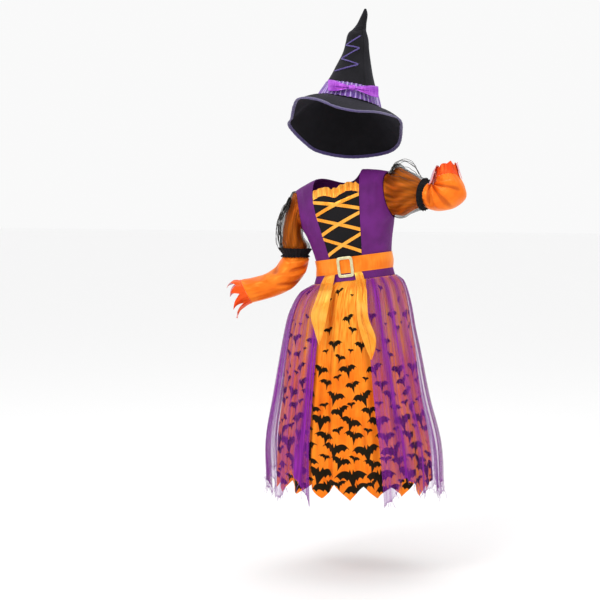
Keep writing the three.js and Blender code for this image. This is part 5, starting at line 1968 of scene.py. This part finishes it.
@dataclass(frozen=True)
class Growth:
    """Geometry Nodes trees for what repeats or follows a path: strands and loose threads."""

    seed: int = 7

    def tree(self, name: str, sizes: dict[str, float]) -> bpy.types.NodeTree:
        """Starts a tree with a named input for each of its sizes."""
        tree = bpy.data.node_groups.new(name, "GeometryNodeTree")
        tree.interface.new_socket("Geometry", in_out="INPUT", socket_type="NodeSocketGeometry")
        for label, size in sizes.items():
            made = tree.interface.new_socket(label, in_out="INPUT", socket_type="NodeSocketFloat")
            made.default_value = size
        tree.interface.new_socket("Geometry", in_out="OUTPUT", socket_type="NodeSocketGeometry")
        return tree

    def node(
        self, tree: bpy.types.NodeTree, kind: str, inputs: dict[str | int, object], **settings: object
    ) -> bpy.types.Node:
        """Makes one node of a tree.

        Args:
            tree: The tree.
            kind: The node's type.
            inputs: Its sockets' values, or the sockets that feed them.
            settings: Its own settings.

        Returns:
            The node.
        """
        made = tree.nodes.new(kind)
        for name, setting in settings.items():
            setattr(made, name, setting)
        for name, value in inputs.items():
            if isinstance(value, bpy.types.NodeSocket):
                tree.links.new(value, made.inputs[name])
            else:
                made.inputs[name].default_value = value
        return made

    def finished(self, tree: bpy.types.NodeTree, geometry: bpy.types.NodeSocket, look: Look) -> None:
        """Ends a tree: what it made becomes real and takes its finish."""
        real = self.node(tree, "GeometryNodeRealizeInstances", {"Geometry": geometry})
        inputs = {"Geometry": real.outputs[0], "Material": look.value.make()}
        dressed = self.node(tree, "GeometryNodeSetMaterial", inputs)
        self.node(tree, "NodeGroupOutput", {0: dressed.outputs[0]})

    def grown(
        self, name: str, tree: bpy.types.NodeTree, mesh: bpy.types.Mesh, look: Look
    ) -> bpy.types.Object:
        """Runs a tree on a mesh of points or lines, and keeps the result as a plain mesh.

        Args:
            name: The piece's name.
            tree: The tree.
            mesh: What it starts from.
            look: The piece's finish.

        Returns:
            The finished piece, riding on the costume.
        """
        host = bpy.data.objects.new(name + "_paths", mesh)
        bpy.context.scene.collection.objects.link(host)
        modifier = host.modifiers.new("growth", "NODES")
        modifier.node_group = tree
        for item in tree.interface.items_tree:
            if item.in_out == "INPUT" and item.socket_type == "NodeSocketFloat":
                modifier[item.identifier] = item.default_value
        graph = bpy.context.evaluated_depsgraph_get()
        result = bpy.data.meshes.new_from_object(host.evaluated_get(graph))
        host.modifiers.remove(modifier)
        bpy.data.objects.remove(host)
        made = bpy.data.objects.new(name, result)
        bpy.context.scene.collection.objects.link(made)
        result.shade_smooth()
        place(made, look)
        LOG.info("%s: %d faces", name, len(result.polygons))
        return made

    def lines(self, name: str, paths: Iterable[Array]) -> bpy.types.Mesh:
        """A mesh of lines through points given in millimetres."""
        points, edges = [], []
        for path in paths:
            start = len(points)
            points.extend((path * MM).tolist())
            edges.extend((start + i, start + i + 1) for i in range(len(path) - 1))
        mesh = bpy.data.meshes.new(name + "_lines")
        mesh.from_pydata(points, edges, [])
        return mesh

    def strands(
        self, name: str, paths: Sequence[Array], look: Look, radius: float, sides: int = 5
    ) -> bpy.types.Object:
        """Round strands along paths.

        Args:
            name: The piece's name.
            paths: The paths, in millimetres.
            look: Its finish.
            radius: A strand's radius, in millimetres.
            sides: How many sides a strand has.

        Returns:
            The piece.
        """
        tree = self.tree(name, {"Radius": radius * MM})
        start = self.node(tree, "NodeGroupInput", {})
        path = self.node(tree, "GeometryNodeMeshToCurve", {"Mesh": start.outputs["Geometry"]})
        inputs = {"Resolution": sides, "Radius": start.outputs["Radius"]}
        profile = self.node(tree, "GeometryNodeCurvePrimitiveCircle", inputs)
        inputs = {"Curve": path.outputs[0], "Profile Curve": profile.outputs[0], "Fill Caps": True}
        swept = self.node(tree, "GeometryNodeCurveToMesh", inputs)
        self.finished(tree, swept.outputs[0], look)
        return self.grown(name, tree, self.lines(name, paths), look)

    def fringe(self, name: str, points: Array, ways: Array, look: Look, length: float) -> bpy.types.Object:
        """Loose threads that start at points and bend a little, each by its own chance.

        Args:
            name: The piece's name.
            points: Where the threads start, in millimetres.
            ways: Which way each one goes.
            look: The threads' finish.
            length: The longest thread, in millimetres.

        Returns:
            The piece.
        """
        mesh = bpy.data.meshes.new(name + "_points")
        mesh.from_pydata((points * MM).tolist(), [], [])
        way = mesh.attributes.new("way", "FLOAT_VECTOR", "POINT")
        way.data.foreach_set("vector", ways.astype(np.float32).ravel())
        tree = self.tree(name, {"Length": length * MM, "Radius": 0.45 * MM, "Bend": length * 0.35 * MM})
        start = self.node(tree, "NodeGroupInput", {})
        base = self.node(tree, "GeometryNodeMeshToPoints", {"Mesh": start.outputs["Geometry"]})
        named = self.node(tree, "GeometryNodeInputNamedAttribute", {"Name": "way"}, data_type="FLOAT_VECTOR")
        turned = self.node(tree, "FunctionNodeAlignRotationToVector", {"Vector": named.outputs[0]}, axis="Z")
        middle = self.node(
            tree, "ShaderNodeCombineXYZ", {0: start.outputs["Bend"], 2: start.outputs["Length"]}
        )
        half = self.node(
            tree, "ShaderNodeVectorMath", {0: middle.outputs[0], 1: (1, 0, 0.45)}, operation="MULTIPLY"
        )
        end = self.node(
            tree, "ShaderNodeVectorMath", {0: middle.outputs[0], 1: (0.2, 0, 1)}, operation="MULTIPLY"
        )
        inputs = {"Resolution": 6, "Start": (0, 0, 0), "Middle": half.outputs[0], "End": end.outputs[0]}
        bent = self.node(tree, "GeometryNodeCurveQuadraticBezier", inputs)
        inputs = {"Resolution": 4, "Radius": start.outputs["Radius"]}
        profile = self.node(tree, "GeometryNodeCurvePrimitiveCircle", inputs)
        inputs = {"Curve": bent.outputs[0], "Profile Curve": profile.outputs[0], "Fill Caps": True}
        thread = self.node(tree, "GeometryNodeCurveToMesh", inputs)
        spin = self.node(
            tree, "FunctionNodeRandomValue",
            {"Min": (0, 0, -3.1), "Max": (0.35, 0.35, 3.1), "Seed": self.seed},
            data_type="FLOAT_VECTOR",
        )
        euler = self.node(tree, "FunctionNodeEulerToRotation", {0: spin.outputs[0]})
        both = self.node(
            tree, "FunctionNodeRotateRotation", {0: turned.outputs[0], 1: euler.outputs[0]},
            rotation_space="LOCAL"
        )
        grow = self.node(
            tree, "FunctionNodeRandomValue",
            {"Min": (0.6, 0.6, 0.25), "Max": (1, 1, 1), "Seed": self.seed + 1},
            data_type="FLOAT_VECTOR",
        )
        inputs = {
            "Points": base.outputs[0],
            "Instance": thread.outputs[0],
            "Rotation": both.outputs[0],
            "Scale": grow.outputs[0],
        }
        placed = self.node(tree, "GeometryNodeInstanceOnPoints", inputs)
        self.finished(tree, placed.outputs[0], look)
        return self.grown(name, tree, mesh, look)


GROWTH = Growth()


@dataclass(frozen=True)
class Hat:
    """The pointed felt hat: crown, curved brim, striped band, bow and zigzag cord."""

    crown: Rings = Rings(
        (
            (-56, 186, 98, 152, 15, 88, 4),
            (-34, 221, 87, 200, 7, 66, 4),
            (-17, 251, 78, 247, -1, 50, 4),
            (2, 288, 72, 288, -9, 36, 3),
            (12, 319, 70, 320, -16, 29, 4),
            (18, 342, 65, 344, -20, 23, 2),
            (31, 353, 63, 354, -22, 17, 0),
            (43, 370, 65, 372, -24, 11.5, 0),
            (52, 389, 67, 390, -26, 7.5, 0),
            (58, 402, 64.5, 402, -27, 3.2, 0),
        )
    )
    brim_edge: Table = Table(
        "right up forward rise",
        (
            (-15, -130, 114, -18, 5),
            (5, -124, 132, 20, 5),
            (25, -117, 162, 60, 6),
            (45, -103, 176, 104, 6),
            (65, -60, 170, 150, 5),
            (80, -13, 150, 185, 4),
            (95, 30, 141, 195, 2),
            (120, 78, 140, 168, 2),
            (143, 114, 135, 122, 3),
            (165, 143, 127, 66, 4),
            (190, 152, 106, 15, 5),
            (215, 147, 66, -38, 8),
            (240, 112, 45, -74, 10),
            (270, 26, 36, -92, 12),
            (300, -55, 50, -80, 12),
            (325, -95, 76, -54, 8),
            (345, -130, 114, -18, 5),
            (365, -124, 132, 20, 5),
            (385, -117, 162, 60, 6),
        ),
    )
    felt: float = 2.2
    band_top: float = 0.95
    band_waves: int = 22
    binding: float = 6.5
    bow_place: tuple[float, float, float] = (25, 201, 94.8)
    bow_loops: tuple[tuple[str, float, float], ...] = (("right", 49, 14), ("left", 57, 14))
    bow_pinch: float = 4.5
    bow_drop: float = 0.14
    cord: tuple[tuple[float, float], ...] = (
        (47, 333), (12, 311), (46, 303), (0, 277), (43, 261), (-15, 246)
    )
    cord_radius: float = 1.6
    strand_radius: float = 1.15
    strand_offset: float = 0.55
    longest_fuzz: float = 5.0
    seam_turn: float = 2.09

    def build(self) -> None:
        """Makes the hat's pieces."""
        self.crown_cloth()
        self.brim_cloth()
        self.edge_binding()
        self.band()
        self.bow()
        self.zigzag_cord()

    def crown_surface(self) -> Surface:
        """The crown's surface, whose tip is rounded over."""
        loops = self.crown.loops()
        body, last = loft(loops), len(loops) - 1
        tip = loops[-1](turns_of(16)).mean(axis=0)

        def surface(turn: Array, along: Array) -> Array:
            """The crown's place, rounded over at its tip."""
            turn, along = np.broadcast_arrays(np.asarray(turn, float), np.asarray(along, float))
            point = body(turn, np.minimum(along, last))
            over = np.clip(along - last, 0, 1) * HALF_PI
            drawn = tip + (point - tip) * np.cos(over)[..., None]
            return drawn + vectors(0.0, 0.0, 2.2 * np.sin(over))

        return surface

    def crown_cloth(self) -> None:
        """The crown, with its seam down the front and creases where the tip bends."""
        surface = self.crown_surface()
        last = len(self.crown.rows) - 1

        def relief(turn: Array, along: Array) -> Array:
            """The crown's seam, its line behind, and its bends."""
            seam = -0.9 * bump(turn, self.seam_turn, 0.022) + 0.7 * bump(turn, self.seam_turn + 0.07, 0.05)
            behind = -0.8 * bump(turn, self.seam_turn + math.pi, 0.03)
            bent = CROWN_CREASES.height(turn, along)
            dents = 0.7 * np.sin(turn * 3 + along * 1.4) * np.sin(along * 2.3 + turn)
            return (seam + behind + bent + dents * smooth((last - along) / 3)) * smooth((last - along) / 0.8)

        Cloth(
            "hat_crown", Look.FELT, surface, middles(surface), turns_of(160),
            np.concatenate([np.linspace(0, last, 84), np.linspace(last, last + 0.93, 8)[1:]]), thick=1.6,
            closed=True, relief=relief, held="stretched",
        ).build()

    def brim(self, turn: Array, share: Array) -> Array:
        """The brim's top, from the crown's foot to its edge."""
        turn, share = np.broadcast_arrays(np.asarray(turn, float), np.asarray(share, float))
        base = drawn_in(self.crown.ring(0), -SEAM_GAP)(turn)
        edge = self.brim_edge.read(np.degrees(turn) % 360)
        outer = STANCE.turned(edge["right"], edge["up"], edge["forward"])
        rise = edge["rise"] * np.sin(math.pi * np.maximum(share, 0) ** 0.8)
        return base + (outer - base) * share[..., None] + vectors(0.0, 0.0, rise)

    @property
    def below(self) -> Array:
        """A place far under the hat."""
        return np.array([0.0, 0.0, -4000.0])

    def brim_cloth(self) -> None:
        """The brim, which waves a little."""

        def relief(turn: Array, share: Array) -> Array:
            """The brim's soft waves and its stitched line."""
            wave = 1.2 * np.sin(turn * 5 + 1) + 0.8 * np.sin(turn * 9 + 2)
            return wave * smooth(share) * smooth((1 - share) / 0.12) - 0.3 * bump(share, 0.5, 0.02)

        Cloth(
            "hat_brim", Look.FELT, self.brim, self.below, turns_of(220), np.linspace(0, 1, 32),
            thick=self.felt, closed=True, relief=relief, held="stretched", rests_on=("hat_crown",),
        ).build()

    def edge_binding(self) -> None:
        """The violet strip that is folded over the brim's edge."""

        def surface(turn: Array, across: Array) -> Array:
            """The binding's place around the brim's edge."""
            turn, across = np.broadcast_arrays(np.asarray(turn, float), np.asarray(across, float))
            edge = self.brim(turn, np.ones(turn.shape))
            inwards = unit(self.brim(turn, np.full(turn.shape, 0.96)) - edge)
            upwards = normals(self.brim, self.below, turn, np.full(turn.shape, 0.98))
            half = self.felt / 2 + 0.9
            bend = np.clip((across - 1 / 3) * 3, 0, 1) * math.pi
            aside = (
                mix(self.binding, 0, np.clip(across * 3, 0, 1))
                + mix(0, self.binding, np.clip(across * 3 - 2, 0, 1))
            )
            aside = aside - half * np.sin(bend)
            height = half * np.cos(bend) - self.felt / 2
            return edge + inwards * aside[..., None] + upwards * height[..., None]

        def inside(turn: Array, across: Array) -> Array:
            """A place inside the binding."""
            turn, _ = np.broadcast_arrays(np.asarray(turn, float), across)
            edge = self.brim(turn, np.ones(turn.shape))
            inwards = unit(self.brim(turn, np.full(turn.shape, 0.96)) - edge)
            return edge + inwards * 2.5 - vectors(0.0, 0.0, self.felt / 2)

        def relief(turn: Array, across: Array) -> Array:
            """Fine puckers."""
            return 0.25 * np.sin(turn * 90) * np.sin(across * 9) + 0.15 * np.sin(turn * 37)

        Cloth(
            "hat_piping", Look.BINDING, surface, inside, turns_of(300), np.linspace(0, 1, 15), thick=0.5,
            closed=True, relief=relief, held="folded", rests_on=("hat_brim",),
        ).build()

    def band(self) -> None:
        """The striped band, pleated round the crown's foot."""
        surface = self.crown_surface()

        def relief(turn: Array, along: Array) -> Array:
            """The band's pleats."""
            drift = 0.9 * np.sin(turn * 3 + along * 0.8)
            pleat = np.cos(turn * self.band_waves * 1.5 + drift)
            fine = 0.3 * np.cos(turn * 71 + along * 3)
            return 1.2 + 1.0 * (1 + pleat) + fine + 0.5 * np.sin(along * 5 + turn * 4)

        Cloth(
            "hat_band", Look.BAND, surface, middles(surface), turns_of(400),
            np.linspace(0.1, self.band_top, 17), closed=True, relief=relief, held="gathered",
            rests_on=("hat_crown",),
        ).build()

    def bow(self) -> None:
        """The bow: two loops of ribbon that fold back behind themselves, and a wrapped knot."""
        right, up, forward = self.bow_place
        back = STANCE.turned(right, up, -1000.0)
        for name, length, half_width in self.bow_loops:
            side = SIDES[name]

            def surface(turn: Array, across: Array, side=side, length=length, half=half_width) -> Array:
                """The loop's place."""
                along = np.sin(turn)
                spread = mix(self.bow_pinch, half, smooth(along * 1.2)) * across
                aside = 6 + 2 * np.abs(along) + along * length
                at_up = up + spread - side * aside * self.bow_drop
                puff = 5 * np.sin(math.pi * along) * (1 - across**2) + 2 * np.sin(across * 4.5)
                layer = (np.cos(turn) + 1) * 4.2 * smooth(along / 0.35)
                place_forward = forward - 30 * (aside / 66) ** 2 + puff + layer - 0.55 * (at_up - up)
                return STANCE.turned(right + side * aside, at_up, place_forward)

            def middle(turn: Array, across: Array, surface=surface) -> Array:
                """The middle between the loop's two layers."""
                turn, across = np.broadcast_arrays(turn, across)
                return (surface(turn, across) + surface(math.pi - turn, across)) / 2

            def relief(turn: Array, across: Array) -> Array:
                """The loop's folds towards the knot."""
                along = np.sin(turn)
                folds = np.cos(across * 7.5 + 0.8) * 1.5 + 0.6 * np.cos(across * 17)
                return (
                    folds * (1 - 0.55 * along) * smooth(along / 0.2)
                    * np.sign(np.cos(turn)) * np.abs(np.cos(turn))
                )

            Cloth(
                f"bow_{name}", Look.BOW, surface, middle, np.linspace(0.03, math.pi - 0.03, 51),
                np.linspace(-1, 1, 33), thick=0.6, relief=relief, held="folded", rests_on=("hat_band",),
            ).build()

        def knot(turn: Array, across: Array) -> Array:
            """The knot's place."""
            full = 0.72 + 0.28 * np.cos(across * HALF_PI)
            at_right = right + across * 8.3
            return STANCE.turned(
                at_right, up + 7.3 * full * np.sin(turn), forward + 1.2 + 5.6 * full * np.cos(turn)
            )

        def wrapped(turn: Array, across: Array) -> Array:
            """The knot's wrapped folds."""
            return 0.55 * np.cos(across * 8 + 0.7 * np.sin(turn)) + 0.3 * np.cos(across * 15 + turn)

        Cloth(
            "bow_knot", Look.BOW, knot, middles(knot), turns_of(48), np.linspace(-1, 1, 21), thick=0.6,
            closed=True, relief=wrapped, held="folded", rests_on=("hat_band",),
        ).build()

    def crown_front(self, right: float, up: float, spare: float) -> Array:
        """The place on the crown's front that is seen at a place right and up."""
        surface = self.crown_surface()
        skin = lifted(surface, middles(surface), spare)
        sideways = STANCE.turned(1.0, 0.0, 0.0)

        def miss(u: float, v: float) -> tuple[float, float]:
            """How far a place on the crown is from the one sought."""
            point = skin(np.array([u]), np.array([v]))[0]
            return point @ sideways - right, point[2] - up

        u, v, step = HALF_PI, 2.5, 1e-3
        for _ in range(12):
            a, b = miss(u, v)
            ua, ub = ((x - y) / step for x, y in zip(miss(u + step, v), (a, b)))
            va, vb = ((x - y) / step for x, y in zip(miss(u, v + step), (a, b)))
            size = ua * vb - ub * va
            u = min(max(u - min(max((a * vb - b * va) / size, -0.3), 0.3), 0.05), math.pi - 0.05)
            v = min(max(v - min(max((b * ua - a * ub) / size, -0.5), 0.5), 0.05), len(self.crown.rows) - 1.1)
        return skin(np.array([u]), np.array([v]))[0]

    def zigzag_cord(self) -> None:
        """The cord that is sewn on in a zigzag, and its frayed ends."""
        path = []
        for i, (start, end) in enumerate(zip(self.cord, self.cord[1:])):
            steps = np.linspace(0, 1, 13)[: -1 if i < len(self.cord) - 2 else None]
            for t in steps:
                path.append(
                    self.crown_front(
                        mix(start[0], end[0], t), mix(start[1], end[1], t), self.cord_radius + 0.4
                    )
                )
        path = np.array(path)
        smoothed = path.copy()
        smoothed[1:-1] = path[1:-1] * 0.5 + (path[:-2] + path[2:]) * 0.25
        twist = np.linspace(0, 2 * math.pi * len(path) / 4, len(path) * 4)
        fine = np.stack(
            [
                np.interp(np.linspace(0, 1, len(twist)), np.linspace(0, 1, len(path)), smoothed[:, k])
                for k in range(3)
            ],
            axis=-1,
        )
        strands = []
        for k in range(3):
            angle = twist * 2.4 + k * 2 * math.pi / 3
            strands.append(
                fine + vectors(
                    np.cos(angle) * self.strand_offset, 0.0, np.sin(angle) * self.strand_offset
                ) + vectors(
                    0.0, -0.2, 0.0
                )
            )
        made = GROWTH.strands("hat_cord_braid", strands, Look.CORD, radius=self.strand_radius, sides=7)
        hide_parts("hat_cord")
        rng = np.random.default_rng(5)
        starts, ways = [], []
        for point in smoothed[::2]:
            for _ in range(3):
                starts.append(point)
                ways.append(STANCE.turned(rng.normal(), rng.normal(), 0.6))
        GROWTH.fringe("hat_cord_fuzz", np.array(starts), np.array(ways), Look.CORD_THREAD, self.longest_fuzz)


CROWN_CREASES = Creases(
    (
        (0.9, 5.4, 2.4, 5.8, 3.5, -2.0),
        (0.6, 6.1, 2.3, 6.4, 3.5, 1.6),
        (1.0, 4.6, 1.9, 4.9, 4.0, 1.2),
        (3.4, 5.2, 5.0, 5.6, 4.0, -1.6),
        (1.2, 2.6, 1.5, 4.2, 8.0, 1.2),
        (2.6, 2.0, 2.8, 3.6, 7.0, 1.2),
    ),
    (30, 30),
    laps=True,
)
RIGHT_CREASES = Creases(
    (
        (3.1, 8.6, 1.4, 9.2, 5, 2.2),
        (3.1, 9.4, 1.5, 10.3, 5, -2.0),
        (3.0, 10.2, 1.2, 11.2, 6, 2.2),
        (3.1, 11.2, 1.6, 12.2, 5, -1.8),
        (2.9, 12.0, 0.9, 12.8, 6, 1.8),
        (0.4, 8.4, 1.4, 9.6, 6, 1.6),
        (0.1, 9.6, 1.0, 11.0, 6, -1.6),
        (0.3, 11.2, 1.2, 12.6, 6, 1.6),
        (4.0, 8.8, 5.0, 10.0, 7, 1.8),
        (4.4, 10.6, 5.6, 11.6, 7, -1.6),
        (3.7, 11.8, 4.9, 12.8, 7, 1.6),
    ),
    (34, 17),
    laps=True,
)
LEFT_CREASES = Creases(
    (
        (0.1, 8.6, 1.9, 8.3, 4.5, 2.2),
        (0.1, 9.3, 2.2, 9.1, 4.5, -2.2),
        (0.1, 9.9, 2.5, 10.0, 5.0, 2.4),
        (0.1, 10.5, 2.6, 10.8, 4.5, -2.2),
        (0.1, 11.0, 2.4, 11.6, 5.0, 2.2),
        (0.1, 11.6, 2.1, 12.4, 4.5, -1.9),
        (0.2, 12.2, 1.6, 13.0, 4.5, 1.8),
        (-0.1, 9.0, -1.9, 8.8, 5.0, 2.0),
        (-0.1, 10.0, -2.3, 10.1, 5.0, -2.0),
        (-0.1, 11.0, -2.2, 11.5, 5.5, 2.0),
        (-0.1, 12.0, -1.6, 12.7, 5.0, -1.8),
    ),
    (36, 20),
    laps=True,
)
RIGHT_SLEEVE = Sleeve(
    "right",
    Rings(
        (
            (-135, -84, -95, -147, -36, 47, 0),
            (-147, -128, -90, -166, -35, 46, 0),
            (-152, -166, -79, -180, -32, 42, 0),
            (-151, -188, -76, -191, -29, 37, 0),
            (-144, -203, -81, -204, -28, 31, 0),
        )
    ),
    Rings(
        (
            (-142, -210, -83, -210, -28, 29, 0),
            (-152, -224, -79, -224, -27, 35, 0),
            (-164, -240, -84, -243, -25, 37, 0),
            (-181, -252, -96, -266, -21, 37, 0),
            (-204, -261, -120, -291, -15, 37, 0),
            (-228, -266, -157, -309, -9, 36, 0),
            (-249, -270, -221, -327, -2, 33, 0),
        )
    ),
    Rings(
        (
            (-250, -270.5, -222, -327.5, -2, 33, 0),
            (-268, -271, -240, -338, 0, 39, 0),
            (-284, -278, -252, -354, 1, 43, 0),
            (-292, -290, -258, -376, 2, 46, 0),
        )
    ),
    RIGHT_CREASES,
    (
        (0.5, 0, 0),
        (0.9, 0, 0),
        (1.6, 0, -2),
        (2.4, 0, -5),
        (2.1, 0, -3),
        (1.5, 0, -2),
        (1.9, 0, -3),
        (1.6, 0, -3),
    ),
)
LEFT_SLEEVE = Sleeve(
    "left",
    Rings(
        (
            (136, 17, 152, -116, 53, 46, -25),
            (158, 6, 168, -106, 68, 45, -32),
            (182, -8, 182, -98, 80, 41, -35),
            (202, -19, 196, -93, 88, 35, -35),
            (208, -27, 202, -87, 92, 30, -34),
        )
    ),
    Rings(
        (
            (211, -30, 206, -86, 95, 28, -33),
            (217, -32, 219, -94, 99, 36, -24),
            (220, -33, 243, -96, 102, 42, -13),
            (222, -34, 274, -89, 104, 44, -2),
            (223, -31, 301, -67, 101, 44, 10),
            (225, -30, 300, -44, 97, 42, 18),
            (226, -24, 288, -20, 90, 37, 28),
        )
    ),
    Rings(
        (
            (226, -23.6, 288, -19.6, 89.7, 37, 28),
            (229, 0, 283, 10, 78, 36, 34),
            (216, 2, 294, 28, 68, 42, 38),
            (199, -8, 306, 48, 58, 50, 40),
        )
    ),
    LEFT_CREASES,
    (
        (1.5, 1, 20),
        (-0.1, 0, 0),
        (0.0, 0, 0),
        (1.3, 1, 4),
        (2.1, 0, -15),
        (1.9, 0, -10),
        (1.3, 0, 0),
        (1.5, 1, 22),
    ),
)


@dataclass(frozen=True)
class Studio:
    """A pale floor, plain soft light, and the camera at the photograph's angle."""

    floor: float = -1.0
    camera: tuple[float, float, float] = (-101, -40, 4000)
    target: tuple[float, float, float] = (-101, -320, 0)
    lens: float = 96.24
    sensor: float = 36

    def build(self) -> None:
        """Sets the stage."""
        scene = bpy.context.scene
        scene.view_settings.view_transform = "Standard"
        scene.cycles.transparent_max_bounces = 32
        self.light_up(scene)
        self.stand()
        self.look(scene)

    def light_up(self, scene: bpy.types.Scene) -> None:
        """Lights the world softly, and adds three wide lamps."""
        world = bpy.data.worlds.new("studio")
        world.use_nodes = True
        world.node_tree.nodes["Background"].inputs["Color"].default_value = (1, 1, 1, 1)
        world.node_tree.nodes["Background"].inputs["Strength"].default_value = 0.95
        scene.world = world
        lamps = (
            ("key", (-1500, 1900, 2000), 30.0, 1.2),
            ("fill", (1700, 300, 2300), 6.0, 2.0),
            ("top", (300, 2300, -600), 12.0, 1.5),
        )
        for name, place_at, power, size in lamps:
            lamp = bpy.data.lights.new(name, "AREA")
            lamp.energy, lamp.size = power, size
            made = bpy.data.objects.new(name, lamp)
            made.location = STANCE.turned(*place_at) * MM
            aim = Vector(STANCE.turned(0.0, -250.0, 0.0) * MM) - made.location
            made.rotation_euler = aim.to_track_quat("-Z", "Y").to_euler()
            scene.collection.objects.link(made)

    def stand(self) -> None:
        """Lays the pale floor."""
        size = 30.0
        mesh = bpy.data.meshes.new("floor")
        corners = [
            (-size, -size, self.floor), (size, -size, self.floor), (size, size, self.floor),
            (-size, size, self.floor)
        ]
        mesh.from_pydata(corners, [], [(0, 1, 2, 3)])
        floor = bpy.data.objects.new("floor", mesh)
        bpy.context.scene.collection.objects.link(floor)
        pale = bpy.data.materials.new("pale_floor")
        pale.use_nodes = True
        pale.node_tree.nodes["Principled BSDF"].inputs["Base Color"].default_value = (0.97, 0.97, 0.97, 1)
        pale.node_tree.nodes["Principled BSDF"].inputs["Roughness"].default_value = 0.9
        mesh.materials.append(pale)

    def look(self, scene: bpy.types.Scene) -> None:
        """Places the camera."""
        data = bpy.data.cameras.new("camera")
        data.lens, data.sensor_width = self.lens, self.sensor
        camera = bpy.data.objects.new("camera", data)
        camera.location = STANCE.turned(*map(float, self.camera)) * MM
        aim = Vector(STANCE.turned(*map(float, self.target)) * MM) - camera.location
        camera.rotation_euler = aim.to_track_quat("-Z", "Y").to_euler()
        scene.collection.objects.link(camera)
        scene.camera = camera


def main() -> None:
    """Builds the costume, piece by piece, and sets it in its studio."""
    logging.basicConfig(level=logging.INFO, format="%(message)s")
    Bodice().build()
    Belt().build()
    SKIRTS.build()
    RIGHT_SLEEVE.build()
    LEFT_SLEEVE.build()
    Hat().build()
    Studio().build()


if __name__ == "__main__":
    main()
